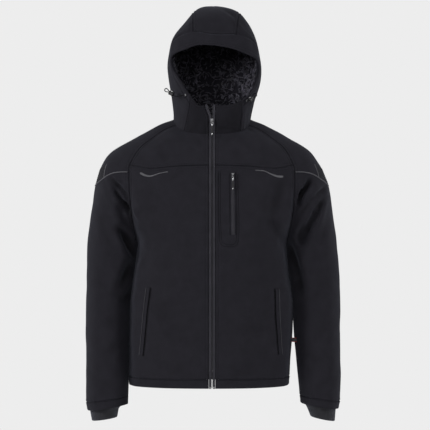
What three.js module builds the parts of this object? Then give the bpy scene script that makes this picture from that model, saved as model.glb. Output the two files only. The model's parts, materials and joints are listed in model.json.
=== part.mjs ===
// Insulated softshell jacket with a lined hood, filled out as if worn, with nobody in it.
// Millimetres, +Z up, the front looks along -Y, the wearer's left is +X. Origin: middle of the neck base.
import * as THREE from "three";

const wall = 2.5; // cloth thickness
const gap = 0.15; // each panel stops this far short of a seam
const zipHalf = 8.8; // half the width between the two front edges
const onCloth = 0.45; // how far trims stand off the panel they lie on
const yokeLevel = 4;
const pipeLevel = 5;
const armpitLevel = 8;
const collarEnd = 0.24; // share of the neckline from the zip to the hood's front seam
const centreSeam = 0.83; // share at which the hood's centre panel starts

// Levels run from the neckline (0) down to the underarm point (8). One column of points per station,
// from the centre front round the shoulder to the centre back, for the +X half.
const knots = [0, 45, 95, 150, 205, 232, 290, 355, 425];
const upper = {
  cf: [[0, -88, -30], [0, -100, -52], [0, -110, -74], [0, -118, -96], [0, -124, -116],
    [0, -127, -138], [0, -133, -196], [0, -137, -264], [0, -138, -335]],
  fa: [[45, -84, -28], [60, -94, -44], [75, -104, -63], [90, -112, -88], [100, -119, -119],
    [100, -122, -140], [102, -129, -196], [104, -133, -264], [105, -132, -335]],
  fb: [[80, -65, -20], [98, -73, -29], [125, -85, -49], [155, -97, -79], [172, -112, -125],
    [172, -114, -145], [174, -117, -196], [175, -113, -264], [174, -96, -335]],
  fc: [[92, -48, -12], [115, -57, -21], [147, -69, -43], [181, -83, -74], [205, -101, -120],
    [206, -104, -141], [207, -104, -194], [205, -91, -263], [197, -54, -335]],
  rf: [[101, -28, -2], [128, -38, -13], [164, -52, -38], [201, -68, -69], [228, -88, -115],
    [229, -91, -134], [226, -87, -190], [220, -58, -262], [207, 5, -335]],
  sa: [[105, -17, 4], [137, -24, -7], [184, -36, -33], [240, -50, -68], [272, -68, -108],
    [277, -74, -137], [274, -78, -200], [260, -73, -268], [242, -54, -335]],
  sb: [[107.5, -5, 11], [146, -10, -2], [203, -18, -33], [268, -26, -69], [302, -38, -113],
    [310, -45, -156], [315, -50, -216], [314, -56, -277], [312, -54, -335]],
  out: [[108, 6, 15], [150, 4, -1], [215, 3, -36], [283, 3, -73], [314, 4, -119],
    [328, 4, -170], [335.5, 4, -226], [343.5, 4, -282], [349.5, 5, -335]],
  sc: [[106, 18, 16], [147, 20, 0], [206, 24, -30], [271, 30, -69], [303, 42, -115],
    [312, 51, -162], [317, 57, -220], [315, 63, -280], [312, 64, -335]],
  sd: [[101, 33, 15.5], [138, 40, 0], [187, 49, -25], [241, 61, -63], [271, 76, -112],
    [276, 84, -148], [275, 88, -208], [262, 82, -272], [242, 64, -335]],
  rb: [[95, 46, 14.5], [126, 60, 1], [160, 74, -22], [196, 88, -55], [224, 99, -112],
    [226, 101, -138], [225, 96, -198], [219, 66, -266], [207, 5, -335]],
  bc: [[84, 54, 14], [111, 69, -3], [142, 84, -27], [174, 97, -60], [199, 109, -112],
    [201, 111, -139], [203, 110, -199], [203, 97, -266], [197, 61, -335]],
  bb: [[70, 60, 12], [95, 75, -8], [122, 90, -33], [150, 104, -65], [168, 115, -112],
    [170, 117, -140], [172, 119, -200], [173, 115, -266], [171, 100, -335]],
  ba: [[38, 66, 13], [55, 84, -8], [70, 100, -35], [88, 114, -67], [100, 122, -112],
    [100, 124, -140], [102, 129, -200], [104, 130, -266], [104, 127, -335]],
  cb: [[0, 68, 13], [0, 88, -8], [0, 104, -35], [0, 117, -67], [0, 125, -112],
    [0, 127, -140], [0, 131, -200], [0, 133, -266], [0, 132, -335]],
};

// Below the underarm: rings of the torso. right and left are the half widths at the side seams.
const torsoRows = [
  { z: -400, right: 215, left: 211, front: 138, back: 131 },
  { z: -490, right: 227, left: 224, front: 136, back: 129 },
  { z: -574, right: 230, left: 223.5, front: 134, back: 127 },
  { z: -658, right: 231.5, left: 218.5, front: 132, back: 126 },
  { z: -700, right: 232, left: 216.5, front: 131, back: 125 },
  { z: -725, right: 231, left: 215, front: 129, back: 123 },
];
// Rings of the two sleeves; zi and zo are the heights at the inner and the outer side.
const armRows = {
  right: [
    { zi: -392, zo: -392, inner: 215.6, outer: 350.5, mid: 4, deep: 66 },
    { zi: -434, zo: -434, inner: 221, outer: 352.5, mid: 3, deep: 65 },
    { zi: -490, zo: -490, inner: 228.1, outer: 352.8, mid: 1, deep: 63 },
    { zi: -574, zo: -574, inner: 231.2, outer: 352.8, mid: -4, deep: 61 },
    { zi: -656, zo: -660, inner: 232.8, outer: 352, mid: -12, deep: 58 },
    { zi: -754, zo: -771, inner: 235, outer: 350.5, mid: -24, deep: 55 },
    { zi: -777, zo: -795, inner: 235.5, outer: 346.5, mid: -27, deep: 53 },
  ],
  left: [
    { zi: -392, zo: -392, inner: 211.6, outer: 354.5, mid: 4, deep: 68 },
    { zi: -434, zo: -434, inner: 217.8, outer: 357, mid: 3, deep: 66 },
    { zi: -490, zo: -490, inner: 225.4, outer: 358.3, mid: 1, deep: 64 },
    { zi: -574, zo: -574, inner: 228, outer: 358.3, mid: -4, deep: 61 },
    { zi: -656, zo: -660, inner: 235, outer: 358, mid: -12, deep: 58 },
    { zi: -752, zo: -768, inner: 244, outer: 356, mid: -24, deep: 55 },
    { zi: -774, zo: -790, inner: 246, outer: 352, mid: -27, deep: 53 },
  ],
};
// The knitted inner cuff that shows below each sleeve.
const cuffRows = {
  right: [
    { zi: -790, zo: -797, inner: 260, outer: 339, mid: -26, deep: 37 },
    { zi: -813, zo: -823, inner: 264, outer: 334, mid: -28, deep: 33 },
  ],
  left: [
    { zi: -786, zo: -793, inner: 264, outer: 343.5, mid: -26, deep: 37 },
    { zi: -811, zo: -824, inner: 274, outer: 341, mid: -28, deep: 33 },
  ],
};

// Deep folds seen on the front: a line from (x0, z0) to (x1, z1), its width and its depth.
const folds = [
  { x0: -276, z0: -118, x1: -252, z1: -172, wide: 12, deep: 5 },
  { x0: -252, z0: -172, x1: -226, z1: -226, wide: 13, deep: 8 },
  { x0: -284, z0: -158, x1: -245, z1: -232, wide: 13, deep: 7 },
  { x0: -245, z0: -232, x1: -216, z1: -320, wide: 14, deep: 9 },
  { x0: -244, z0: -306, x1: -218, z1: -364, wide: 13, deep: 8 },
  { x0: -240, z0: -405, x1: -250, z1: -470, wide: 14, deep: 6 },
  { x0: 276, z0: -136, x1: 240, z1: -204, wide: 14, deep: 10 },
  { x0: 313, z0: -174, x1: 278, z1: -258, wide: 13, deep: 6 },
  { x0: 278, z0: -258, x1: 254, z1: -322, wide: 13, deep: 6 },
  { x0: 280, z0: -226, x1: 244, z1: -322, wide: 13, deep: 6 },
  { x0: 190, z0: -156, x1: 158, z1: -280, wide: 22, deep: 4 },
  { x0: 158, z0: -280, x1: 204, z1: -340, wide: 16, deep: 5 },
  { x0: 232, z0: -350, x1: 222, z1: -430, wide: 14, deep: 6 },
];

// Hood: centre line from the nape over the crown to the brim, and the edge of the face opening.
const hoodCentre = [
  [0, 68, 13], [0, 92, 70], [1, 110, 136], [2, 114, 206], [3, 96, 268],
  [4, 48, 314], [4, -18, 329], [4, -80, 295], [4, -122, 212],
];
const rim = {
  right: [[-20, -91, 50], [-38, -92, 50], [-60, -86, 76], [-86, -78, 112], [-113, -70, 152],
    [-112, -86, 186], [-76, -108, 202], [-38, -118, 213], [4, -122, 212]],
  left: [[10, -91, 51], [42, -92, 50], [84, -82, 64], [118, -68, 98], [132, -63, 143],
    [124, -82, 176], [90, -104, 191], [48, -115, 205], [4, -122, 212]],
};
const zipSliderZ = 12; // the front zip is closed up to here

const fabric = (color, roughness = 0.92) =>
  new THREE.MeshStandardMaterial({ color, roughness, metalness: 0 });
const shellCloth = fabric(0x1b1b1f);
const liningCloth = fabric(0x101013, 1);
const ribKnit = fabric(0x141417, 1);
const pipingTape = fabric(0x55555c, 0.5);
const zipTape = fabric(0x303036);
const labelRed = fabric(0x7a1512);
const darkPlastic = new THREE.MeshStandardMaterial({ color: 0x0d0d0f, roughness: 0.45, metalness: 0 });
const zipMetal = new THREE.MeshStandardMaterial({ color: 0x9a9aa0, roughness: 0.3, metalness: 0.9 });

const jacket = new THREE.Group();
jacket.name = "softshell_jacket";

const vec = (a) => new THREE.Vector3(a[0], a[1], a[2]);
const along = (p, d, s) => p.clone().addScaledVector(d, s);
const smooth = (a, b, x) => {
  const t = Math.min(1, Math.max(0, (x - a) / (b - a)));
  return t * t * (3 - 2 * t);
};

// Cubic through p0 and p1 with slopes m0 and m1 over a span of length h.
function cubic(p0, m0, p1, m1, h, t) {
  const t2 = t * t, t3 = t2 * t;
  return new THREE.Vector3()
    .addScaledVector(p0, 2 * t3 - 3 * t2 + 1)
    .addScaledVector(m0, h * (t3 - 2 * t2 + t))
    .addScaledVector(p1, -2 * t3 + 3 * t2)
    .addScaledVector(m1, h * (t3 - t2));
}

const slope = (a, b, h) => b.clone().sub(a).divideScalar(h);

// A smooth line through points at the given knots; corner is an index where it may turn sharply.
function lineAt(points, at, s, corner = -1) {
  const k = Math.min(points.length - 2, Math.max(0, Math.floor(s)));
  const m = (i, other) => {
    if (i === 0) return slope(points[0], points[1], at[1] - at[0]);
    if (i === points.length - 1) return slope(points[i - 1], points[i], at[i] - at[i - 1]);
    if (i === corner) return slope(points[Math.min(i, other)], points[Math.max(i, other)],
      Math.abs(at[i] - at[other]));
    return slope(points[i - 1], points[i + 1], at[i + 1] - at[i - 1]);
  };
  return cubic(points[k], m(k, k + 1), points[k + 1], m(k + 1, k), at[k + 1] - at[k], s - k);
}

// Every station as a list of points from the neckline to the lower edge, per side.
const torsoShare = { cf: [0, 1], fa: [0.47, 0.93], fb: [0.785, 0.71], fc: [0.94, 0.44] };
const backShare = { bc: [0.94, 0.44], bb: [0.785, 0.71], ba: [0.47, 0.93], cb: [0, 1] };
const frontNames = ["cf", "fa", "fb", "fc", "rf"];
const sleeveNames = ["rf", "sa", "sb", "out", "sc", "sd", "rb"];
const backNames = ["rb", "bc", "bb", "ba", "cb"];
const torsoKnots = [...knots, ...torsoRows.map((r) => 425 + (-335 - r.z) * 1.0)];
const armKnots = (rows) => [...knots, ...rows.map((r) => 425 - 335 - (r.zi + r.zo) / 2)];

function ringPoint(row, angle) {
  const a = (row.outer - row.inner) / 2, c = (row.outer + row.inner) / 2;
  const share = (1 + Math.cos(angle)) / 2; // 1 at the inner side
  return [c - a * Math.cos(angle), row.mid - row.deep * Math.sin(angle),
    row.zo + (row.zi - row.zo) * share];
}

// the left shoulder slopes more than the right one
const shoulderDrop = { "-1": 4, 1: 13 };
const sloped = (side, x, z) => x - shoulderDrop[side] * smooth(170, 290, x) * Math.exp(-(((z + 88) / 62) ** 2));
const stations = {};
for (const side of [-1, 1]) {
  const which = side < 0 ? "right" : "left";
  const flip = (list) => list.map(([x, y, z]) => new THREE.Vector3(side * sloped(side, x, z), y, z));
  const torso = {}, arm = {};
  for (const name of [...frontNames, ...backNames]) {
    const share = torsoShare[name] || backShare[name] || [1, 0];
    const low = torsoRows.map((r) => [
      share[0] * r[which],
      name in torsoShare ? -share[1] * r.front : share[1] * r.back + (name === "rf" || name === "rb" ? 5 : 0),
      r.z,
    ]);
    torso[name] = flip([...upper[name], ...low]);
  }
  sleeveNames.forEach((name, i) => {
    const low = armRows[which].map((r) => ringPoint(r, (i * Math.PI) / 3));
    arm[name] = flip([...upper[name], ...low]);
  });
  stations[side] = { torso, arm, armKnots: armKnots(armRows[which]) };
}

function stationAt(side, part, name, v) {
  const s = stations[side];
  const corner = name === "rf" || name === "rb" ? armpitLevel : -1;
  return lineAt(s[part][name], part === "arm" ? s.armKnots : torsoKnots, v, corner);
}

const blendDir = (a, b, k) => a.clone().multiplyScalar(1 - k).addScaledVector(b, k);

// A point of the garment: panel is front, sleeve or back; u counts stations, v counts levels.
function bare(side, panel, u, v) {
  const part = panel === "sleeve" ? "arm" : "torso";
  const names = panel === "front" ? frontNames : panel === "back" ? backNames : sleeveNames;
  const pts = names.map((n) => stationAt(side, part, n, v));
  const at = [0];
  for (let i = 1; i < pts.length; i++) at.push(at[i - 1] + Math.max(pts[i].distanceTo(pts[i - 1]), 1e-6));
  const k = Math.min(pts.length - 2, Math.max(0, Math.floor(u)));
  const pinch = v >= armpitLevel ? 1 : smooth(5.2, armpitLevel, v);
  const upperV = Math.min(v, armpitLevel);
  const turn = (before, here, after) => {
    const a = before.distanceTo(here), b = after.distanceTo(here);
    return after.clone().sub(before).divideScalar(Math.max(a + b, 1e-6));
  };
  const tangent = (i) => {
    const last = pts.length - 1;
    if (i > 0 && i < last) return turn(pts[i - 1], pts[i], pts[i + 1]);
    if (panel === "front" && i === 0)
      return new THREE.Vector3((pts[1].x - pts[0].x) / (at[1] - at[0]), 0, 0);
    if (panel === "back" && i === last)
      return new THREE.Vector3((pts[last].x - pts[last - 1].x) / (at[last] - at[last - 1]), 0, 0);
    // At a raglan or a side seam the line runs on round the shoulder, or closes under the arm.
    const atFront = panel === "front" || (panel === "sleeve" && i === 0);
    const body = stationAt(side, "torso", atFront ? "fc" : "bc", panel === "sleeve" ? upperV : v);
    const over = stationAt(side, "arm", atFront ? "sa" : "sd", panel === "sleeve" ? v : upperV);
    const here = pts[i];
    const round = atFront ? turn(body, here, over) : turn(over, here, body);
    let close;
    if (panel === "sleeve")
      close = turn(stationAt(side, part, "sd", v), here, stationAt(side, part, "sa", v));
    else
      close = turn(stationAt(side, part, "fc", v), here, stationAt(side, part, "bc", v));
    return blendDir(round, close, pinch);
  };
  return cubic(pts[k], tangent(k), pts[k + 1], tangent(k + 1), at[k + 1] - at[k], u - k);
}

// Folds push the front of the cloth in along a line, and raise it a little on both sides.
function foldDepth(x, z) {
  let sum = 0;
  for (const f of folds) {
    const dx = f.x1 - f.x0, dz = f.z1 - f.z0, len2 = dx * dx + dz * dz;
    const t = Math.min(1, Math.max(0, ((x - f.x0) * dx + (z - f.z0) * dz) / len2));
    const d = Math.hypot(x - f.x0 - t * dx, z - f.z0 - t * dz) / f.wide;
    sum += f.deep * (Math.exp(-d * d) - 0.35 * Math.exp(-((d - 2) ** 2)));
  }
  return sum;
}

function body(side, panel, u, v) {
  const p = bare(side, panel, u, v);
  const facing = smooth(-25, -60, p.y) * smooth(5, 5.6, v);
  if (facing > 0) p.y += facing * foldDepth(p.x, p.z);
  return p;
}

const lastU = { front: 4, sleeve: 6, back: 4 };

function sideNormal(side, panel, u, v, vMax) {
  const e = 0.03;
  const u0 = Math.max(0, u - e), u1 = Math.min(lastU[panel], u + e);
  const v0 = Math.max(0, v - e), v1 = Math.min(vMax, v + e);
  const pu = body(side, panel, u1, v).sub(body(side, panel, u0, v));
  const pv = body(side, panel, u, v1).sub(body(side, panel, u, v0));
  return { n: pv.cross(pu).multiplyScalar(side).normalize(), t: pu.normalize() };
}

// The point, its outward direction and, on a seam, the direction across the seam.
function garment(side, panel, u, v) {
  const vMax = panel === "sleeve" ? 15 : 14;
  const p = body(side, panel, u, v);
  const own = sideNormal(side, panel, u, v, vMax);
  const last = lastU[panel];
  if (u > 1e-6 && u < last - 1e-6) return { p, n: own.n };
  if (panel === "front" && u < 1) return { p, n: new THREE.Vector3(0, own.n.y, own.n.z).normalize() };
  if (panel === "back" && u > 3) return { p, n: new THREE.Vector3(0, own.n.y, own.n.z).normalize() };
  // seam column: share the direction with the panel on the other side
  const atFront = panel === "front" || (panel === "sleeve" && u < 1);
  const below = v > armpitLevel + 1e-6, here = Math.abs(v - armpitLevel) <= 1e-6;
  let other;
  if (!below && !here) {
    other = panel === "sleeve"
      ? sideNormal(side, atFront ? "front" : "back", atFront ? 4 : 0, v, 14)
      : sideNormal(side, "sleeve", atFront ? 0 : 6, v, 15);
  } else if (panel === "sleeve") other = sideNormal(side, "sleeve", u < 1 ? 6 : 0, v, 15);
  else other = sideNormal(side, atFront ? "back" : "front", atFront ? 0 : 4, v, 14);
  const n = own.n.clone().add(other.n);
  n.z -= 0.6 * smooth(7, 8, v) * (below ? 0 : 1);
  if (here) n.set(0, 0, -1);
  n.normalize();
  const inward = panel === "sleeve" ? 1 : -1; // towards the sleeve or towards the body
  const b = new THREE.Vector3();
  if (below) b.set(0, atFront ? -1 : 1, 0);
  else {
    b.copy(own.t).add(other.t).addScaledVector(new THREE.Vector3(side, 0, 0), 0.15).normalize();
    // own.t points towards rising u; turn it so that it leads into this panel
    const lead = new THREE.Vector3(side * inward, 0, 0);
    if (b.dot(lead) < 0) b.negate();
    if (here) b.set(side * inward, atFront ? -1 : 1, 0);
  }
  return { p, n, b };
}

function uAtX(side, x, v) {
  let lo = 0, hi = 4;
  for (let i = 0; i < 40; i++) {
    const mid = (lo + hi) / 2;
    if (Math.abs(body(side, "front", mid, v).x) < x) lo = mid;
    else hi = mid;
  }
  return (lo + hi) / 2;
}

// One closed sheet of cloth from a grid of points; round is true where the columns close on themselves.
function sheetMesh(name, grid, material, { thick = wall, round = false, flip = false, pull = gap } = {}) {
  const rows = grid.length, cols = grid[0].length;
  const outer = [], inner = [];
  for (let r = 0; r < rows; r++)
    for (let c = 0; c < cols; c++) {
      const g = grid[r][c];
      const p = g.p.clone();
      const shift = new THREE.Vector3();
      if (r === 0) shift.addScaledVector(grid[1][c].p.clone().sub(g.p).normalize(), g.top ?? pull);
      if (r === rows - 1) shift.addScaledVector(grid[r - 1][c].p.clone().sub(g.p).normalize(), pull);
      if (!round && (c === 0 || c === cols - 1)) {
        const near = grid[r][c === 0 ? 1 : c - 1].p.clone().sub(g.p).normalize();
        shift.addScaledVector(g.b || near, pull);
      }
      p.add(shift);
      outer.push(p);
      inner.push(along(p, g.n, -(g.thick ?? thick)));
    }
  const at = [], index = [];
  for (const p of [...outer, ...inner]) at.push(p.x, p.y, p.z);
  const n = rows * cols;
  const quad = (a, b, c, d) => (flip ? index.push(a, c, b, a, d, c) : index.push(a, b, c, a, c, d));
  const id = (r, c) => r * cols + (c % cols);
  const lastCol = round ? cols : cols - 1;
  for (let r = 0; r < rows - 1; r++)
    for (let c = 0; c < lastCol; c++) {
      quad(id(r, c), id(r + 1, c), id(r + 1, c + 1), id(r, c + 1));
      quad(n + id(r, c), n + id(r, c + 1), n + id(r + 1, c + 1), n + id(r + 1, c));
    }
  for (let c = 0; c < lastCol; c++) {
    quad(id(0, c), id(0, c + 1), n + id(0, c + 1), n + id(0, c));
    quad(id(rows - 1, c), n + id(rows - 1, c), n + id(rows - 1, c + 1), id(rows - 1, c + 1));
  }
  if (!round)
    for (let r = 0; r < rows - 1; r++) {
      quad(id(r, 0), n + id(r, 0), n + id(r + 1, 0), id(r + 1, 0));
      quad(id(r, cols - 1), id(r + 1, cols - 1), n + id(r + 1, cols - 1), n + id(r, cols - 1));
    }
  return addMesh(name, at, index, material);
}

function addMesh(name, at, index, material) {
  const g = new THREE.BufferGeometry();
  g.setAttribute("position", new THREE.Float32BufferAttribute(at, 3));
  g.setIndex(index);
  g.computeVertexNormals();
  const mesh = new THREE.Mesh(g, material);
  mesh.name = name;
  jacket.add(mesh);
  return mesh;
}

const steps = (from, to, count) => Array.from({ length: count + 1 }, (_, i) => from + ((to - from) * i) / count);
const between = (list, from, to) => list.filter((v) => v >= from - 1e-9 && v <= to + 1e-9);

const upperRows = [0, 0.5, 1, 1.5, 2, 2.5, 3, 3.5, 4, 5, 5.5, 6, 6.5, 7, 7.5, 8];
const torsoLevels = [...upperRows, 8.5, 9, 9.5, 10, 10.5, 11, 11.5, 12, 12.5, 13, 14];
const armLevels = [...upperRows, 8.5, 9, 10, 10.5, 11, 11.5, 12, 12.5, 13, 13.33, 13.67, 14, 15];
const frontCols = [0.35, 0.7, 1, 1.4, 1.75, 2.1, 2.6, 3.1, 3.55, 4];
const backCols = [0, 0.45, 0.9, 1.4, 1.9, 2.3, 2.8, 3.2, 3.6, 4];
const sleeveCols = [0, 0.3, 0.6, 1, 1.35, 1.7, 2, 2.5, 3, 3.5, 4, 4.5, 5, 5.5, 6];

for (const side of [-1, 1]) {
  const name = side < 0 ? "right" : "left";
  const flip = side < 0;
  const frontGrid = (levels) => levels.map((v) => [
    garment(side, "front", uAtX(side, zipHalf, v), v),
    ...frontCols.map((u) => garment(side, "front", u, v)),
  ]);
  const sleeveGrid = (levels) => levels.map((v) => sleeveCols.map((u) => garment(side, "sleeve", u, v)));
  sheetMesh("yoke_" + name, frontGrid(between(torsoLevels, 0, yokeLevel)), shellCloth, { flip });
  sheetMesh("front_" + name, frontGrid(between(torsoLevels, yokeLevel, 13)), shellCloth, { flip });
  sheetMesh("hem_" + name, frontGrid(between(torsoLevels, 13, 14)), shellCloth, { flip });
  sheetMesh("shoulder_" + name, sleeveGrid(between(armLevels, 0, pipeLevel)), shellCloth, { flip });
  sheetMesh("sleeve_" + name, sleeveGrid(between(armLevels, pipeLevel, 14)), shellCloth, { flip });
  sheetMesh("sleeve_hem_" + name, sleeveGrid(between(armLevels, 14, 15)), shellCloth, { flip });
}

const backGrid = (levels) => levels.map((v) => [
  ...backCols.map((u) => garment(-1, "back", u, v)),
  ...backCols.slice(0, -1).reverse().map((u) => garment(1, "back", u, v)),
]);
sheetMesh("yoke_back", backGrid(between(torsoLevels, 0, yokeLevel)), shellCloth, { flip: true });
sheetMesh("back_panel", backGrid(between(torsoLevels, yokeLevel, 13)), shellCloth, { flip: true });
sheetMesh("hem_back", backGrid(between(torsoLevels, 13, 14)), shellCloth, { flip: true });

// Collar and hood: each half spans from the zip (u = 0) to the centre back (u = 1), and from the
// neckline (v = 0) to the edge of the face opening (v = 1).
const eighths = [0, 1, 2, 3, 4, 5, 6, 7, 8];
const rimPoints = { "-1": rim.right.map(vec), 1: rim.left.map(vec) };
const centrePoints = hoodCentre.map(vec);
const neckLines = {};
for (const side of [-1, 1]) {
  const u0 = uAtX(side, zipHalf, 0);
  const pts = [
    ...steps(u0, 4, 24).map((u) => body(side, "front", u, 0)),
    ...steps(0, 6, 12).slice(1).map((u) => body(side, "sleeve", u, 0)),
    ...steps(0, 4, 24).slice(1).map((u) => body(side, "back", u, 0)),
  ];
  const run = [0];
  for (let i = 1; i < pts.length; i++) run.push(run[i - 1] + pts[i].distanceTo(pts[i - 1]));
  neckLines[side] = { pts, run };
}

function neckAt(side, u) {
  const { pts, run } = neckLines[side];
  const want = u * run[run.length - 1];
  let i = 1;
  while (i < run.length - 1 && run[i] < want) i++;
  return pts[i - 1].clone().lerp(pts[i], (want - run[i - 1]) / (run[i] - run[i - 1]));
}

function collarEdge(side, v) {
  const from = neckAt(side, 0), to = rimPoints[side][0];
  const p = from.clone().lerp(to, v);
  p.x = from.x + (to.x - from.x) * smooth(0.5, 1, v);
  p.y -= 4 * Math.sin(Math.PI * v);
  return p;
}

function hoodPoint(side, u, v) {
  const low = neckAt(side, u), high = lineAt(rimPoints[side], eighths, 8 * u);
  const near = collarEdge(side, v), far = lineAt(centrePoints, eighths, 8 * v);
  const w = smooth(0.15 + 0.1 * v * v, 1, u); // the crown runs level over the middle, the cheeks stay flat
  const p = low.clone().multiplyScalar(1 - v).addScaledVector(high, v);
  p.addScaledVector(near, 1 - w).addScaledVector(far, w);
  p.addScaledVector(neckAt(side, 0), -(1 - w) * (1 - v)).addScaledVector(neckAt(side, 1), -w * (1 - v));
  p.addScaledVector(rimPoints[side][0], -(1 - w) * v).addScaledVector(rimPoints[side][8], -w * v);
  // the seams beside the centre panel stand out as soft corners, the left one more than the right
  const out = p.clone().sub(new THREE.Vector3(3, 0, 140)).normalize();
  const swell = Math.sin(Math.PI * v) ** 1.5;
  const corner = Math.exp(-(((u - 0.84) / 0.1) ** 2)) * swell;
  const cheek = Math.exp(-(((u - 0.45) / 0.16) ** 2)) * swell;
  const widest = 7 * Math.exp(-(((u - 0.5) / 0.2) ** 2) - ((v - 0.57) / 0.17) ** 2);
  const crown = side > 0 ? Math.exp(-(((u - 0.79) / 0.14) ** 2) - ((v - 0.73) / 0.17) ** 2) : 0;
  return p.addScaledVector(out, 9 * corner)
    .addScaledVector(new THREE.Vector3(side, 0, 0), (side > 0 ? 9 : 12) * cheek + widest)
    .addScaledVector(new THREE.Vector3(0.9, 0, 0.44), 15 * crown);
}

function hood(side, u, v) {
  const e = 0.01;
  const p = hoodPoint(side, u, v);
  const pu = hoodPoint(side, Math.min(1, u + e), v).sub(hoodPoint(side, Math.max(0, u - e), v));
  const pv = hoodPoint(side, u, Math.min(1, v + e)).sub(hoodPoint(side, u, Math.max(0, v - e)));
  const n = pu.cross(pv).multiplyScalar(side);
  if (u > 0.999) n.x = 0;
  return { p, n: n.normalize(), top: 0.6 };
}

const brimStart = (u) => 0.8 + 0.157 * smooth(0.3, 1, u);
const hoodRows = [0, 0.07, 0.15, 0.24, 0.34, 0.45, 0.56, 0.67, 0.78, 0.89, 1];
const collarCols = [0, 0.05, 0.1, 0.15, 0.2, collarEnd];
const sideCols = [collarEnd, 0.3, 0.37, 0.44, 0.51, 0.58, 0.65, 0.71, 0.77, centreSeam];
const centreCols = [centreSeam, 0.88, 0.94, 1];
const hoodGrid = (side, cols) => hoodRows.map((r) => cols.map((u) => hood(side, u, r * brimStart(u))));
const bothWays = (cols) => [...cols.map((u) => [-1, u]), ...cols.slice(0, -1).reverse().map((u) => [1, u])];

for (const side of [-1, 1]) {
  const name = side < 0 ? "right" : "left";
  const ordered = (cols) => (side < 0 ? cols : [...cols].reverse());
  const cols = ordered(collarCols);
  const collar = [...hoodGrid(side, cols), cols.map((u) => hood(side, u, 0.5 + 0.5 * brimStart(u))),
    cols.map((u) => hood(side, u, 1))];
  sheetMesh("collar_" + name, collar, shellCloth);
  sheetMesh("hood_side_" + name, hoodGrid(side, ordered(sideCols)), shellCloth);
}
sheetMesh("hood_centre", hoodRows.map((r) => bothWays(centreCols).map(([s, u]) => hood(s, u, r * brimStart(u)))),
  shellCloth);
const archCols = [...sideCols, ...centreCols.slice(1)];
sheetMesh("hood_brim", [0, 0.5, 1].map((k) => bothWays(archCols).map(([s, u]) =>
  ({ ...hood(s, u, brimStart(u) + (1 - brimStart(u)) * k), top: gap }))), shellCloth);

// Plush lining just inside the collar and the hood, closer at the rim where it is sewn on.
const liningCols = [0.1, 0.15, 0.2, ...archCols];
sheetMesh("hood_lining", [0.03, ...hoodRows.slice(1), 1.5, 1.97].map((r) => bothWays(liningCols).map(([s, u]) => {
  const start = brimStart(u), g = hood(s, u, r <= 1 ? r * start : start + (r - 1) * (1 - start));
  return { p: along(g.p, g.n, -(wall + (r > 1.9 ? 0.4 : 1.8))), n: g.n };
})), liningCloth, { thick: 3 });

// Knitted inner cuffs.
for (const side of [-1, 1]) {
  const name = side < 0 ? "right" : "left";
  const ring = (row) => sleeveCols.slice(0, -1).map((u) => {
    const a = (u * Math.PI) / 3;
    const [x, y, z] = ringPoint(row, a);
    const n = new THREE.Vector3(-side * Math.cos(a), -Math.sin(a), 0).normalize();
    return { p: new THREE.Vector3(side * x, y, z), n };
  });
  // sewn to the inside of the sleeve hem
  const sewn = sleeveCols.slice(0, -1).map((u) => {
    const g = garment(side, "sleeve", u, 14), h = garment(side, "sleeve", u, 15);
    return { p: along(g.p.clone().lerp(h.p, 0.3), g.n, -(wall + 0.35)), n: g.n };
  });
  sheetMesh("inner_cuff_" + name, [sewn, ...cuffRows[name].map(ring)], ribKnit,
    { round: true, flip: side < 0, thick: 2 });
}

// Front zip: two tapes, the coil between them up to the slider, and the slider with its pull.
for (const side of [-1, 1]) {
  const name = side < 0 ? "right" : "left";
  const onBody = [...torsoLevels].reverse().map((v) => [zipHalf - 0.45, 1.9].map((x) => {
    const g = garment(side, "front", uAtX(side, x, v), v);
    return { p: along(g.p, g.n, -0.6), n: g.n };
  }));
  const collarRows = [...hoodRows.slice(1).map((r) => r * brimStart(0)), 1];
  const onCollar = collarRows.map((v) => [1.2, 7.2].map((d) => {
    const e = collarEdge(side, v);
    return { p: new THREE.Vector3(e.x - side * d, e.y + 0.6, e.z), n: new THREE.Vector3(0, -1, 0) };
  }));
  sheetMesh("zip_tape_" + name, [...onBody, ...onCollar], zipTape, { thick: 1.2, flip: side < 0 });
}
const centreLine = [
  ...[...torsoLevels].reverse().map((v) => body(1, "front", 0, v)),
  ...steps(0, 1, 16).slice(1).map((v) => collarEdge(1, v)).filter((p) => p.z < zipSliderZ - 4),
];
sheetMesh("zip_coil", centreLine.map((q) => [-1.5, 1.5].map((x) =>
  ({ p: new THREE.Vector3(x, q.y - 0.4, q.z), n: new THREE.Vector3(0, -1, 0) }))), zipTape,
{ thick: 2.2, flip: true });

function box(name, size, centre, material, tilt = 0) {
  const mesh = new THREE.Mesh(new THREE.BoxGeometry(...size), material);
  mesh.name = name;
  mesh.rotation.x = tilt;
  mesh.position.set(...centre);
  jacket.add(mesh);
}

// A flat tab with a round hole near its upper end, hanging in the XZ plane.
function tab(name, wide, long, thick, hole, top, material) {
  const r = wide / 2;
  const shape = new THREE.Shape();
  shape.moveTo(-r, -r);
  shape.absarc(0, -r, r, Math.PI, 0, true);
  shape.lineTo(r * 0.8, -long + 1);
  shape.lineTo(r * 0.6, -long);
  shape.lineTo(-r * 0.6, -long);
  shape.lineTo(-r * 0.8, -long + 1);
  if (hole) {
    const h = new THREE.Path();
    h.absarc(0, -r, hole, 0, 2 * Math.PI, false);
    shape.holes.push(h);
  }
  const g = new THREE.ExtrudeGeometry(shape, { depth: thick, bevelEnabled: false, curveSegments: 8 });
  const mesh = new THREE.Mesh(g, material);
  mesh.name = name;
  mesh.rotation.x = Math.PI / 2;
  mesh.position.set(...top);
  jacket.add(mesh);
}

const sliderY = centreLine[centreLine.length - 1].y;
box("zip_slider", [9.5, 3.6, 16], [0, sliderY - 2.7, 4], zipMetal);
tab("zip_pull", 7, 20, 1.4, 1.8, [0, sliderY - 4.9, 2], zipMetal);
tab("zip_pull_tab", 8, 29, 3, 0, [0, sliderY - 6.7, -12], darkPlastic);

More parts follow.
